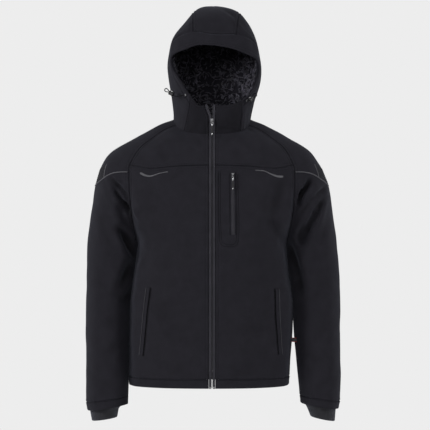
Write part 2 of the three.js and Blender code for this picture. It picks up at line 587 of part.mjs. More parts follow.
// The place on a front panel that shows at (x, z) from the front.
function onFront(side, x, z) {
  let lo = 0, hi = 14;
  for (let i = 0; i < 40; i++) {
    const v = (lo + hi) / 2;
    if (body(side, "front", uAtX(side, Math.abs(x), v), v).z > z) lo = v;
    else hi = v;
  }
  const v = (lo + hi) / 2;
  return garment(side, "front", uAtX(side, Math.abs(x), v), v);
}

// A raised strip with rounded edges along places on the cloth.
function strip(name, places, wide, high, material, lift = onCloth) {
  const half = [[-0.5, 0], [-0.5, 0.55], [-0.25, 1], [0.25, 1], [0.5, 0.55], [0.5, 0]];
  const at = [], index = [], m = half.length;
  places.forEach((g, i) => {
    const next = places[Math.min(i + 1, places.length - 1)].p, last = places[Math.max(i - 1, 0)].p;
    const t = next.clone().sub(last).normalize();
    const across = new THREE.Vector3().crossVectors(t, g.n).normalize();
    const w = g.wide ?? wide;
    for (const [a, h] of half) {
      const q = along(along(g.p, across, a * w), g.n, lift + h * high);
      at.push(q.x, q.y, q.z);
    }
    if (i)
      for (let k = 0; k < m; k++) {
        const a = (i - 1) * m + k, b = (i - 1) * m + ((k + 1) % m);
        index.push(a, b, b + m, a, b + m, a + m);
      }
  });
  const end = (places.length - 1) * m;
  for (let k = 1; k < m - 1; k++) {
    index.push(0, k + 1, k);
    index.push(end, end + k, end + k + 1);
  }
  return addMesh(name, at, index, material);
}

function spread(points, count) {
  const curve = new THREE.CatmullRomCurve3(points.map(([x, z]) => new THREE.Vector3(x, 0, z)), false, "centripetal");
  return curve.getSpacedPoints(count);
}
const frontPath = (side, points, count) => spread(points, count).map((q) => onFront(side, q.x, q.z));

// Piping over the chest, thick and rounded at its outer end.
const chestPath = {
  right: [[-120, -134], [-142, -138], [-168, -146], [-182, -144], [-196, -137]],
  left: [[118, -130], [142, -132], [162, -141], [180, -147], [194, -147]],
};
for (const side of [-1, 1]) {
  const name = side < 0 ? "right" : "left";
  const path = frontPath(side, chestPath[name], 12);
  path.forEach((g, i) => (g.wide = 3 + 3.5 * smooth(5, 11, i)));
  strip("chest_piping_" + name, path, 4, 1.6, pipingTape);
  strip("sleeve_piping_" + name, steps(0.08, 5.92, 36).map((u) => garment(side, "sleeve", u, pipeLevel)),
    3.4, 1.6, pipingTape);
}

// Hand pockets: a welt over a slit, with a narrow piping beside it.
const pocketPath = {
  right: { welt: [[-173, -452], [-184, -545], [-193, -637]], edge: [[-180, -452], [-191, -545], [-200, -637]] },
  left: { welt: [[176, -455], [180, -545], [186, -634]], edge: [[183, -455], [187, -545], [193, -634]] },
};
for (const side of [-1, 1]) {
  const name = side < 0 ? "right" : "left";
  strip("pocket_welt_" + name, frontPath(side, pocketPath[name].welt, 12), 8, 1.8, shellCloth);
  strip("pocket_piping_" + name, frontPath(side, pocketPath[name].edge, 12), 3, 1.8, pipingTape);
}

// Chest pocket zip on the wearer's left.
const chestZipX = 57.3;
strip("chest_zip", frontPath(1, [[chestZipX - 1, -136], [chestZipX - 1, -220], [chestZipX, -306]], 12),
  10.5, 1.3, zipTape);
const chestTop = onFront(1, chestZipX, -146);
box("chest_zip_slider", [7, 3, 11], [chestZipX - 0.5, chestTop.p.y - 4.0, -144], zipMetal);
tab("chest_zip_pull", 6, 18, 1.4, 1.5, [chestZipX - 0.5, chestTop.p.y - 5.9, -147], zipMetal);
tab("chest_zip_pull_tab", 6.5, 25, 2.6, 0, [chestZipX - 0.5, chestTop.p.y - 7.65, -163], darkPlastic);

// Bare label at the wearer's left side seam.
const labelAt = garment(1, "front", 3.62, 11.3);
const labelOut = new THREE.Vector3(0.72, -0.69, 0);
const labelMesh = new THREE.Mesh(new THREE.BoxGeometry(18, 1, 12), labelRed);
labelMesh.name = "side_label";
labelMesh.position.copy(along(labelAt.p, labelOut, 10));
labelMesh.rotation.z = Math.atan2(labelOut.y, labelOut.x);
jacket.add(labelMesh);

// Hood cords: out of an eyelet, through a lock, round a short loop and back into the lock.
function tube(name, points, radius, count, material) {
  const curve = new THREE.CatmullRomCurve3(points, false, "centripetal");
  const frames = curve.computeFrenetFrames(count, false), sides = 6;
  const at = [], index = [];
  for (let i = 0; i <= count; i++) {
    const c = curve.getPointAt(i / count);
    for (let k = 0; k < sides; k++) {
      const a = (k * 2 * Math.PI) / sides;
      const q = along(along(c, frames.normals[i], radius * Math.cos(a)), frames.binormals[i], radius * Math.sin(a));
      at.push(q.x, q.y, q.z);
      if (i) {
        const p0 = (i - 1) * sides + k, p1 = (i - 1) * sides + ((k + 1) % sides);
        index.push(p0, p1, p1 + sides, p0, p1 + sides, p0 + sides);
      }
    }
  }
  for (let k = 1; k < sides - 1; k++) {
    index.push(0, k + 1, k);
    index.push(count * sides, count * sides + k, count * sides + k + 1);
  }
  return addMesh(name, at, index, material);
}

const cordRadius = 1.3;
const cordPath = {
  right: { eyelet: { u: 0.3, v: 0.86 }, lead: 6, lock: [-112, -72, 83], toward: [-0.8, 0.27, 0.53] },
  left: { eyelet: { u: 0.29, v: 0.86 }, lead: 6, lock: [106.5, -86, 66], toward: [0.66, 0.35, 0.66] },
};
function cordLine(side, way) {
  const eye = hood(side, way.eyelet.u, way.eyelet.v);
  const a = vec(way.toward).normalize();
  const b = new THREE.Vector3().crossVectors(a, new THREE.Vector3(0, 1, 0)).normalize();
  const near = (s, t) => along(along(vec(way.lock), a, s), b, t);
  return [along(eye.p, eye.n, 0.45), along(eye.p, eye.n, way.lead), near(-13, 1.45), near(-8, 1.45),
    near(0, 1.45), near(9, 1.5), near(16, 4), near(21, 3.4), near(22.5, 0), near(21, -3.4), near(16, -4),
    near(9, -1.5), near(0, -1.45), near(-4, -1.45)];
}
for (const side of [-1, 1]) {
  const name = side < 0 ? "right" : "left", way = cordPath[name];
  tube("hood_cord_" + name, cordLine(side, way), cordRadius, 40, darkPlastic);
  const ring = [[3.75, -6], [6.4, -5], [7, 0], [6.4, 5], [3.75, 6], [3.75, -6]].map(([r, y]) => new THREE.Vector2(r, y));
  const lock = new THREE.Mesh(new THREE.LatheGeometry(ring, 14), darkPlastic);
  lock.name = "cord_lock_" + name;
  lock.quaternion.setFromUnitVectors(new THREE.Vector3(0, 1, 0), vec(way.toward).normalize());
  lock.position.set(...way.lock);
  jacket.add(lock);
}

export default jacket;
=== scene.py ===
import json
import math
import random
import bpy
import bmesh
import numpy as np
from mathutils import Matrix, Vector

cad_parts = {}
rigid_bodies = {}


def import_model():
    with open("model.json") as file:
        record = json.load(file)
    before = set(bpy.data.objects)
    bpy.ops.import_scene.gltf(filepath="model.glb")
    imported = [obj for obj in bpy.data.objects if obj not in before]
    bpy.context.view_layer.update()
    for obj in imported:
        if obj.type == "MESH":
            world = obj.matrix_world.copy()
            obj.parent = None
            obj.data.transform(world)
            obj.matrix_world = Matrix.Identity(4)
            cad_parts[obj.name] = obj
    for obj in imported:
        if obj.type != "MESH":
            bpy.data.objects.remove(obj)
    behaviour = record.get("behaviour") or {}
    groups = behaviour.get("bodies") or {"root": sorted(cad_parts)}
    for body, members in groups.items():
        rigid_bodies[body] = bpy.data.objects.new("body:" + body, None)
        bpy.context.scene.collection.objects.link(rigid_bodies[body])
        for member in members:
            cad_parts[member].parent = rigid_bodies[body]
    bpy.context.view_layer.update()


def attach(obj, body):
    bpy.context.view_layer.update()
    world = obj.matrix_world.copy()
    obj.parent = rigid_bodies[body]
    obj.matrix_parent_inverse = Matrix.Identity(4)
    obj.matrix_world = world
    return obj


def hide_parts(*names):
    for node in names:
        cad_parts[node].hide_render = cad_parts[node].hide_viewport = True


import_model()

# Hooded softshell jacket, filled out as worn, nobody in it. The tables are in millimetres, as in the CAD part;
# "right" is the wearer's right, at -X. Meshes are written in metres.
for obj in bpy.data.objects:
    obj.select_set(False)
scene = bpy.context.scene
scene.view_settings.view_transform = "Standard"
scene.view_settings.look = "None"

camera = {"place": (0.008, -4.5, -0.252), "lens": 134.6, "sensor": 36.0}
lamps = {
    "sideLeft": {"place": (-4.0, -1.85, 1.2), "size": 1.4, "watts": 150},
    "sideRight": {"place": (4.0, -1.85, 1.1), "size": 1.4, "watts": 98},
    "fill": {"place": (-0.2, -4.4, 1.0), "size": 2.0, "watts": 80},
    "top": {"place": (0.2, 0.9, 2.6), "size": 2.0, "watts": 14},
    "rimLeft": {"place": (-2.6, 1.2, 0.2), "size": 1.6, "watts": 9},
    "rimRight": {"place": (2.6, 1.2, 0.2), "size": 1.6, "watts": 9},
}
hoodSpot = {"place": (-1.15, -2.6, 0.38), "toward": (0.082, 0.03, 0.112), "degrees": 3.0, "watts": 420}
backgroundLight = {"seen": 0.847, "ambient": 0.18}
camData = bpy.data.cameras.new("camera")
camData.lens, camData.sensor_width, camData.sensor_fit = camera["lens"], camera["sensor"], "HORIZONTAL"
camData.clip_end = 40
camObj = bpy.data.objects.new("camera", camData)
camObj.location = camera["place"]
camObj.rotation_euler = (math.radians(90), 0, 0)
scene.collection.objects.link(camObj)
scene.camera = camObj


def smooth(a, b, x):
    t = np.clip((np.asarray(x, float) - a) / (b - a), 0, 1)
    return t * t * (3 - 2 * t)


def bell(x, wide):
    return np.exp(-(np.asarray(x, float) / wide) ** 2)


def size(p):
    return np.sqrt((p * p).sum(-1))


def unit(p):
    return p / np.maximum(size(p), 1e-9)[..., None]


def runOf(line):
    # the length of a line of points, from its start to each of them
    return np.concatenate([[0], np.cumsum(size(np.diff(line, axis=0)))])


def pointsAt(line, run, want):
    # the points of a line at these lengths
    return np.stack([np.interp(want, run, line[:, i]) for i in range(3)], -1)


def lineAt(points, at, s, corner=-1):
    # smooth line through points at the given knots; corner is an index where it may turn sharply
    points, at, s = np.asarray(points, float), np.asarray(at, float), np.asarray(s, float)
    span = np.diff(at)[:, None]
    chord = np.diff(points, axis=0) / span
    mid = np.vstack([chord[:1], (points[2:] - points[:-2]) / (at[2:] - at[:-2])[:, None], chord[-1:]])
    leave, arrive = mid[:-1].copy(), mid[1:].copy()
    if corner > 0:
        leave[corner], arrive[corner - 1] = chord[corner], chord[corner - 1]
    k = np.clip(np.floor(s).astype(int), 0, len(points) - 2)
    t = (s - k)[..., None]
    return hermite(points[k], leave[k], points[k + 1], arrive[k], span[k], t)


def hermite(p0, m0, p1, m1, h, t):
    return (p0 * (2 * t**3 - 3 * t**2 + 1) + m0 * h * (t**3 - 2 * t**2 + t)
            + p1 * (3 * t**2 - 2 * t**3) + m1 * h * (t**3 - t**2))


# the cut of the jacket, repeated from the CAD part
jacketShape = {
    "wall": 2.5,          # cloth thickness
    "innerLift": 0.6,     # the inner side follows the folds out only this far
    "gap": 0.15,          # each panel stops this far short of a seam
    "neckLap": -0.45,     # at the neckline the panels lap by this much instead
    "zipHalf": 8.8,       # half the width between the two front edges
    "pipeLevel": 5, "armpitLevel": 8,
    "armpitDroop": 0.6,   # how far the edges turn down where the seams meet under the arm
    "stationsEnd": -335,  # z of the stations' last level; the rows below it follow
    "collarEnd": 0.24,    # share of the neckline from the zip to the hood's front seam
    "centreSeam": 0.83,   # share at which the hood's centre panel starts
}
levelKnots = [0, 45, 95, 150, 205, 232, 290, 355, 425]
upperStations = {
    "cf": [(0, -88, -30), (0, -100, -52), (0, -110, -74), (0, -118, -96), (0, -124, -116), (0, -127, -138),
           (0, -133, -196), (0, -137, -264), (0, -138, -335)],
    "fa": [(45, -84, -28), (60, -94, -44), (75, -104, -63), (90, -112, -88), (100, -119, -119),
           (100, -122, -140), (102, -129, -196), (104, -133, -264), (105, -132, -335)],
    "fb": [(80, -65, -20), (98, -73, -29), (125, -85, -49), (155, -97, -79), (172, -112, -125),
           (172, -114, -145), (174, -117, -196), (175, -113, -264), (174, -96, -335)],
    "fc": [(92, -48, -12), (115, -57, -21), (147, -69, -43), (181, -83, -74), (205, -101, -120),
           (206, -104, -141), (207, -104, -194), (205, -91, -263), (197, -54, -335)],
    "rf": [(101, -28, -2), (128, -38, -13), (164, -52, -38), (201, -68, -69), (228, -88, -115),
           (229, -91, -134), (226, -87, -190), (220, -58, -262), (207, 5, -335)],
    "sa": [(105, -17, 4), (137, -24, -7), (184, -36, -33), (240, -50, -68), (272, -68, -108),
           (277, -74, -137), (274, -78, -200), (260, -73, -268), (242, -54, -335)],
    "sb": [(107.5, -5, 11), (146, -10, -2), (203, -18, -33), (268, -26, -69), (302, -38, -113),
           (310, -45, -156), (315, -50, -216), (314, -56, -277), (312, -54, -335)],
    "out": [(108, 6, 15), (150, 4, -1), (215, 3, -36), (283, 3, -73), (314, 4, -119), (328, 4, -170),
           (335.5, 4, -226), (343.5, 4, -282), (349.5, 5, -335)],
    "sc": [(106, 18, 16), (147, 20, 0), (206, 24, -30), (271, 30, -69), (303, 42, -115), (312, 51, -162),
           (317, 57, -220), (315, 63, -280), (312, 64, -335)],
    "sd": [(101, 33, 15.5), (138, 40, 0), (187, 49, -25), (241, 61, -63), (271, 76, -112), (276, 84, -148),
           (275, 88, -208), (262, 82, -272), (242, 64, -335)],
    "rb": [(95, 46, 14.5), (126, 60, 1), (160, 74, -22), (196, 88, -55), (224, 99, -112), (226, 101, -138),
           (225, 96, -198), (219, 66, -266), (207, 5, -335)],
    "bc": [(84, 54, 14), (111, 69, -3), (142, 84, -27), (174, 97, -60), (199, 109, -112), (201, 111, -139),
           (203, 110, -199), (203, 97, -266), (197, 61, -335)],
    "bb": [(70, 60, 12), (95, 75, -8), (122, 90, -33), (150, 104, -65), (168, 115, -112), (170, 117, -140),
           (172, 119, -200), (173, 115, -266), (171, 100, -335)],
    "ba": [(38, 66, 13), (55, 84, -8), (70, 100, -35), (88, 114, -67), (100, 122, -112), (100, 124, -140),
           (102, 129, -200), (104, 130, -266), (104, 127, -335)],
    "cb": [(0, 68, 13), (0, 88, -8), (0, 104, -35), (0, 117, -67), (0, 125, -112), (0, 127, -140),
           (0, 131, -200), (0, 133, -266), (0, 132, -335)],
}
torsoRows = [  # z, right and left half width, front and back depth
    (-400, 215, 211, 138, 131), (-490, 227, 224, 136, 129), (-574, 230, 223.5, 134, 127),
    (-658, 231.5, 218.5, 132, 126), (-700, 232, 216.5, 131, 125), (-725, 231, 215, 129, 123),
]
armRows = {  # inner z, outer z, inner x, outer x, middle y, half depth
    "right": [(-392, -392, 215.6, 350.5, 4, 66), (-434, -434, 221, 352.5, 3, 65),
        (-490, -490, 228.1, 352.8, 1, 63), (-574, -574, 231.2, 352.8, -4, 61),
        (-656, -660, 232.8, 352, -12, 58), (-754, -771, 235, 350.5, -24, 55),
        (-777, -795, 235.5, 346.5, -27, 53)],
    "left": [(-392, -392, 211.6, 354.5, 4, 68), (-434, -434, 217.8, 357, 3, 66),
        (-490, -490, 225.4, 358.3, 1, 64), (-574, -574, 228, 358.3, -4, 61),
        (-656, -660, 235, 358, -12, 58), (-752, -768, 244, 356, -24, 55), (-774, -790, 246, 352, -27, 53)],
}
cuffRows = {
    "right": [(-790, -797, 260, 339, -26, 37), (-813, -823, 264, 334, -28, 33)],
    "left": [(-786, -793, 264, 343.5, -26, 37), (-811, -824, 274, 341, -28, 33)],
}
deepFolds = [  # x0, z0, x1, z1, width, depth
    (-276, -118, -252, -172, 12, 5), (-252, -172, -226, -226, 13, 8), (-284, -158, -245, -232, 13, 7),
    (-245, -232, -216, -320, 14, 9), (-244, -306, -218, -364, 13, 8), (-240, -405, -250, -470, 14, 6),
    (276, -136, 240, -204, 14, 10), (313, -174, 278, -258, 13, 6), (278, -258, 254, -322, 13, 6),
    (280, -226, 244, -322, 13, 6), (190, -156, 158, -280, 22, 4), (158, -280, 204, -340, 16, 5),
    (232, -350, 222, -430, 14, 6),
]
hoodCentre = [
    (0, 68, 13), (0, 92, 70), (1, 110, 136), (2, 114, 206), (3, 96, 268), (4, 48, 314), (4, -18, 329),
    (4, -80, 295), (4, -122, 212),
]
faceRim = {
    "right": [(-20, -91, 50), (-38, -92, 50), (-60, -86, 76), (-86, -78, 112), (-113, -70, 152),
        (-112, -86, 186), (-76, -108, 202), (-38, -118, 213), (4, -122, 212)],
    "left": [(10, -91, 51), (42, -92, 50), (84, -82, 64), (118, -68, 98), (132, -63, 143), (124, -82, 176),
        (90, -104, 191), (48, -115, 205), (4, -122, 212)],
}


# the cloth surface: u counts stations round, v counts levels down
stationsOf = {
    "front": ["cf", "fa", "fb", "fc", "rf"],
    "sleeve": ["rf", "sa", "sb", "out", "sc", "sd", "rb"],
    "back": ["rb", "bc", "bb", "ba", "cb"],
}
widthShare = {"cf": (0, -1), "fa": (0.47, -0.93), "fb": (0.785, -0.71), "fc": (0.94, -0.44),
              "bc": (0.94, 0.44), "bb": (0.785, 0.71), "ba": (0.47, 0.93), "cb": (0, 1)}
lastStation = {"front": 4, "sleeve": 6, "back": 4}
lastLevel = {"front": 14, "sleeve": 15, "back": 14}
sideName = {-1: "right", 1: "left"}


def cuffRing(row, angle):
    zi, zo, inner, outer, mid, deep = row
    c = np.cos(angle)
    x = (outer + inner) / 2 - (outer - inner) / 2 * c
    return np.stack([x, mid - deep * np.sin(angle), zo + (zi - zo) * (1 + c) / 2], -1)


shoulderDrop = {"by": {-1: 4, 1: 13}, "from": 170, "full": 290, "level": -88, "reach": 62}   # more on the left


def sloped(side, points):
    x, z = points[:, 0], points[:, 2]
    drop = shoulderDrop
    share = smooth(drop["from"], drop["full"], x) * bell(z - drop["level"], drop["reach"])
    points[:, 0] = x - drop["by"][side] * share
    return points * (side, 1, 1)


def makeStations():
    made = {}
    fromTop = levelKnots[-1] + jacketShape["stationsEnd"]
    for side, which in sideName.items():
        half = 1 if side < 0 else 2
        knots = levelKnots + [fromTop - r[0] for r in torsoRows]
        for name in stationsOf["front"] + stationsOf["back"]:
            low = []
            for r in torsoRows:
                w, d = widthShare.get(name, (1, 0))
                y = d * r[3] if d < 0 else d * r[4] + (5 if name in ("rf", "rb") else 0)
                low.append((w * r[half], y, r[0]))
            made[side, "torso", name] = (sloped(side, np.array(upperStations[name] + low, float)), knots)
        knots = levelKnots + [fromTop - (r[0] + r[1]) / 2 for r in armRows[which]]
        for i, name in enumerate(stationsOf["sleeve"]):
            low = [cuffRing(r, i * math.pi / 3) for r in armRows[which]]
            made[side, "arm", name] = (sloped(side, np.array(upperStations[name] + low, float)), knots)
    return made


stations = makeStations()


def stationAt(side, part, name, v):
    points, knots = stations[side, part, name]
    return lineAt(points, knots, v, jacketShape["armpitLevel"] if name in ("rf", "rb") else -1)


def turnAt(before, here, after):
    return (after - before) / np.maximum(size(here - before) + size(after - here), 1e-6)[..., None]


def bareCloth(side, panel, u, v):
    u, v = np.broadcast_arrays(np.asarray(u, float), np.asarray(v, float))
    part = "arm" if panel == "sleeve" else "torso"
    pts = [stationAt(side, part, n, v) for n in stationsOf[panel]]
    run = [np.maximum(size(b - a), 1e-6) for a, b in zip(pts, pts[1:])]
    last = lastStation[panel]
    armpit = jacketShape["armpitLevel"]
    pinch = np.where(v >= armpit, 1.0, smooth(5.2, armpit, v))[..., None]
    upper = np.minimum(v, armpit)

    def seamTangent(atFront):
        here = pts[0] if (panel == "sleeve") == atFront else pts[-1]
        if panel == "front":
            here = pts[-1]
        if panel == "back":
            here = pts[0]
        trunk = stationAt(side, "torso", "fc" if atFront else "bc", upper if panel == "sleeve" else v)
        over = stationAt(side, "arm", "sa" if atFront else "sd", v if panel == "sleeve" else upper)
        onward = turnAt(trunk, here, over) if atFront else turnAt(over, here, trunk)
        if panel == "sleeve":
            close = turnAt(stationAt(side, part, "sd", v), here, stationAt(side, part, "sa", v))
        else:
            close = turnAt(stationAt(side, part, "fc", v), here, stationAt(side, part, "bc", v))
        return onward * (1 - pinch) + close * pinch

    tangents = [None] + [turnAt(pts[i - 1], pts[i], pts[i + 1]) for i in range(1, last)] + [None]
    if panel == "front":
        tangents[0] = (pts[1] - pts[0]) / run[0][..., None] * (1, 0, 0)
        tangents[last] = seamTangent(True)
    elif panel == "back":
        tangents[0] = seamTangent(False)
        tangents[last] = (pts[last] - pts[last - 1]) / run[last - 1][..., None] * (1, 0, 0)
    else:
        tangents[0], tangents[last] = seamTangent(True), seamTangent(False)
    k = np.clip(np.floor(u).astype(int), 0, last - 1)
    pick = lambda stack, i: np.take_along_axis(np.stack(stack), i[None, ..., None], 0)[0]
    h = np.take_along_axis(np.stack(run), k[None], 0)[0][..., None]
    return hermite(pick(pts, k), pick(tangents, k), pick(pts, k + 1), pick(tangents, k + 1), h,
                   (u - k)[..., None])


def lineDistance(x, z, x0, z0, x1, z1):
    dx, dz = x1 - x0, z1 - z0
    t = np.clip(((x - x0) * dx + (z - z0) * dz) / (dx * dx + dz * dz), 0, 1)
    return np.hypot(x - x0 - t * dx, z - z0 - t * dz), t


def cloth(side, panel, u, v):
    p = bareCloth(side, panel, u, v)
    v = np.broadcast_to(v, p.shape[:-1])
    deep = 0
    for x0, z0, x1, z1, wide, depth in deepFolds:
        d = lineDistance(p[..., 0], p[..., 2], x0, z0, x1, z1)[0] / wide
        deep = deep + depth * (bell(d, 1) - 0.35 * bell(d - 2, 1))
    p[..., 1] += smooth(-25, -60, p[..., 1]) * smooth(5, 5.6, v) * deep
    return p


def clothNormal(side, panel, u, v):
    e = 0.03
    u, v = np.broadcast_arrays(np.asarray(u, float), np.asarray(v, float))
    u0, u1 = np.maximum(u - e, 0), np.minimum(u + e, lastStation[panel])
    v0, v1 = np.maximum(v - e, 0), np.minimum(v + e, lastLevel[panel])
    n = unit(np.cross(cloth(side, panel, u, v1) - cloth(side, panel, u, v0),
                      cloth(side, panel, u1, v) - cloth(side, panel, u0, v))) * side
    if panel != "sleeve":
        middle = u < 0.02 if panel == "front" else u > 3.98
        n[middle, 0] = 0
    return unit(n)


def seamNormal(side, panel, u, v):
    # on a seam both panels share the direction, so that their edges meet
    n = clothNormal(side, panel, u, v)
    u, v = np.broadcast_arrays(np.asarray(u, float), np.asarray(v, float))
    armpit = jacketShape["armpitLevel"]
    for end in (0, lastStation[panel]):
        if (panel, end) in (("front", 0), ("back", 4)):
            continue
        atFront = panel == "front" or (panel == "sleeve" and end == 0)
        on = np.abs(u - end) < 1e-6
        above, below = on & (v < armpit - 1e-6), on & (v > armpit + 1e-6)
        if panel == "sleeve":
            up, upU = ("front", 4) if atFront else ("back", 0)
            down, downU = "sleeve", 6 - end
        else:
            up, upU, down, downU = "sleeve", (0 if atFront else 6), ("back" if atFront else "front"), 4 - end
        if above.any():
            n[above] += clothNormal(side, up, np.full(above.sum(), float(upU)), v[above])
            n[above, 2] -= jacketShape["armpitDroop"] * smooth(armpit - 1, armpit, v[above])
        if below.any():
            n[below] += clothNormal(side, down, np.full(below.sum(), float(downU)), v[below])
        n[on & ~above & ~below] = (0, 0, -1)
    return unit(n)


halvings = 34      # enough to find a place on the cloth exactly


def zipU(side, x, v):
    # where a front panel's surface lies x mm from the middle
    low, high = np.zeros(np.shape(v)), np.full(np.shape(v), 4.0)
    for _ in range(halvings):
        mid = (low + high) / 2
        less = np.abs(cloth(side, "front", mid, v)[..., 0]) < x
        low, high = np.where(less, mid, low), np.where(less, high, mid)
    return (low + high) / 2


def makeNeckline(side):
    zero = np.zeros(1)
    start = zipU(side, jacketShape["zipHalf"], zero)[0]
    pts = np.vstack([cloth(side, "front", np.linspace(start, 4, 25), np.zeros(25)),
                     cloth(side, "sleeve", np.linspace(0, 6, 13)[1:], np.zeros(12)),
                     cloth(side, "back", np.linspace(0, 4, 25)[1:], np.zeros(24))])
    return pts, runOf(pts)


# collar and hood: u runs from the zip (0) to the centre back (1), v from the neckline (0) to the rim (1)
neckLines = {side: makeNeckline(side) for side in (-1, 1)}
eighths = list(range(9))


def neckAt(side, u):
    pts, run = neckLines[side]
    want = np.asarray(u, float) * run[-1]
    return pointsAt(pts, run, want)


def collarEdge(side, v):
    v = np.asarray(v, float)
    start, end = neckAt(side, 0), np.array(faceRim[sideName[side]][0], float)
    p = start + (end - start) * v[..., None]
    p[..., 0] = start[0] + (end[0] - start[0]) * smooth(0.5, 1, v)
    p[..., 1] -= 4 * np.sin(np.pi * v)
    return p


hoodSwells = {   # height in mm, middle and width in u, and for some in v
    "back": (9, 0.84, 0.1), "cheek": {-1: (12, 0.45, 0.16), 1: (9, 0.45, 0.16)}, "ear": (7, 0.5, 0.2, 0.57, 0.17),
    "crown": (15, 0.79, 0.14, 0.73, 0.17), "crownWay": (0.9, 0, 0.44),     # fuller on the wearer's left
}


def hoodPoint(side, u, v):
    u, v = np.broadcast_arrays(np.asarray(u, float), np.asarray(v, float))
    rim = np.array(faceRim[sideName[side]], float)
    U, V = u[..., None], v[..., None]
    w = smooth(0.15 + 0.1 * V**2, 1, U)
    p = neckAt(side, u) * (1 - V) + lineAt(rim, eighths, 8 * u) * V
    p = p + collarEdge(side, v) * (1 - w) + lineAt(hoodCentre, eighths, 8 * v) * w
    p = p - neckAt(side, 0) * (1 - w) * (1 - V) - neckAt(side, 1) * w * (1 - V)
    p = p - rim[0] * (1 - w) * V - rim[8] * w * V
    out = unit(p - (3, 0, 140))
    swell = np.sin(np.pi * np.clip(V, 0, 1)) ** 1.5
    high, at, wide = hoodSwells["back"]
    p = p + out * high * bell(U - at, wide) * swell
    high, at, wide = hoodSwells["cheek"][side]
    p = p + np.array((side, 0, 0)) * high * bell(U - at, wide) * swell
    high, at, wide, level, tall = hoodSwells["ear"]
    p = p + np.array((side, 0, 0)) * high * bell(U - at, wide) * bell(V - level, tall)
    if side > 0:
        high, at, wide, level, tall = hoodSwells["crown"]
        p = p + np.array(hoodSwells["crownWay"]) * high * bell(U - at, wide) * bell(V - level, tall)
    return p


def hoodNormal(side, u, v):
    e = 0.01
    n = np.cross(hoodPoint(side, np.minimum(u + e, 1), v) - hoodPoint(side, np.maximum(u - e, 0), v),
                 hoodPoint(side, u, np.minimum(v + e, 1)) - hoodPoint(side, u, np.maximum(v - e, 0))) * side
    n[np.broadcast_to(u, n.shape[:-1]) > 0.999, 0] = 0
    return unit(n)


def brimStart(u):
    return 0.8 + 0.157 * smooth(0.3, 1, u)


seamSteps = [0, 0.9, 2, 3.4, 5, 6.6, 8, 9.4, 12]   # mm from a seam, close together so that it can be rolled in


def lengthsAlong(total, step):
    inner = np.arange(seamSteps[-1] + step * 0.8, total - seamSteps[-1] - step * 0.4, step)
    return np.concatenate([seamSteps, inner, total - np.array(seamSteps[::-1])])


def rowsByLength(place, u, v0, v1, step):
    probe = np.linspace(v0, v1, 160)
    run = runOf(place(np.full(160, float(u)), probe))
    if run[-1] < 60:   # a narrow band, such as a hem
        want = np.linspace(0, run[-1], max(6, int(run[-1] / 2.4)))
    else:
        want = lengthsAlong(run[-1], step)
    return np.interp(want, run, probe), want, run[-1] - want


def columnsByLength(place, rows, u0, u1, step, closeEnds=(True, True)):
    # every row gets the same number of columns, close together beside the seams
    u0, u1 = np.broadcast_to(u0, rows.shape), np.broadcast_to(u1, rows.shape)
    probe = u0[:, None] + (u1 - u0)[:, None] * np.linspace(0, 1, 121)
    pts = place(probe, rows[:, None] + 0 * probe)
    run = np.concatenate([np.zeros((len(rows), 1)), np.cumsum(size(np.diff(pts, axis=1)), 1)], 1)
    total = run[:, -1]
    near = np.array(seamSteps) / seamSteps[-1]
    lead = [np.minimum(seamSteps[-1], total * 0.22) if close else np.minimum(step, total * 0.1)
            for close in closeEnds]
    count = max(3, int(total.max() / step))
    start = near[None] * lead[0][:, None] if closeEnds[0] else np.stack([0 * total, lead[0]], 1)
    end = near[None] * lead[1][:, None] if closeEnds[1] else np.stack([0 * total, lead[1]], 1)
    middle = lead[0][:, None] + (total - lead[0] - lead[1])[:, None] * (np.arange(1, count) / count)[None]
    want = np.concatenate([start, middle, total[:, None] - end[:, ::-1]], 1)
    u = np.stack([np.interp(want[i], run[i], probe[i]) for i in range(len(rows))])
    return u, want, total[:, None] - want


def areaOf(p):
    # the area of a grid of points, in square metres
    return size(np.cross(p[1:, :-1] - p[:-1, :-1], p[:-1, 1:] - p[:-1, :-1])).sum() / 1e6


def newPiece(name, verts, faces, uv=None):
    mesh = bpy.data.meshes.new(name)
    mesh.from_pydata((np.asarray(verts, float) / 1000).tolist(), [], faces)
    mesh.shade_smooth()
    if uv is not None:
        layer = mesh.uv_layers.new(name="cloth")
        index = np.zeros(len(mesh.loops), int)
        mesh.loops.foreach_get("vertex_index", index)
        layer.data.foreach_set("uv", (np.asarray(uv, float) / 1000)[index].ravel())
    obj = bpy.data.objects.new(name, mesh)
    scene.collection.objects.link(obj)
    return obj


def finishPiece(obj, mats, replaced=(), body="jacket", angle=None):
    for m in (mats if isinstance(mats, (list, tuple)) else [mats]):
        obj.data.materials.append(m)
    if angle:
        pickOnly(obj)
        bpy.ops.object.shade_smooth_by_angle(angle=math.radians(angle))
        obj.select_set(False)
    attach(obj, body)
    if replaced:
        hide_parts(*replaced)
    return obj


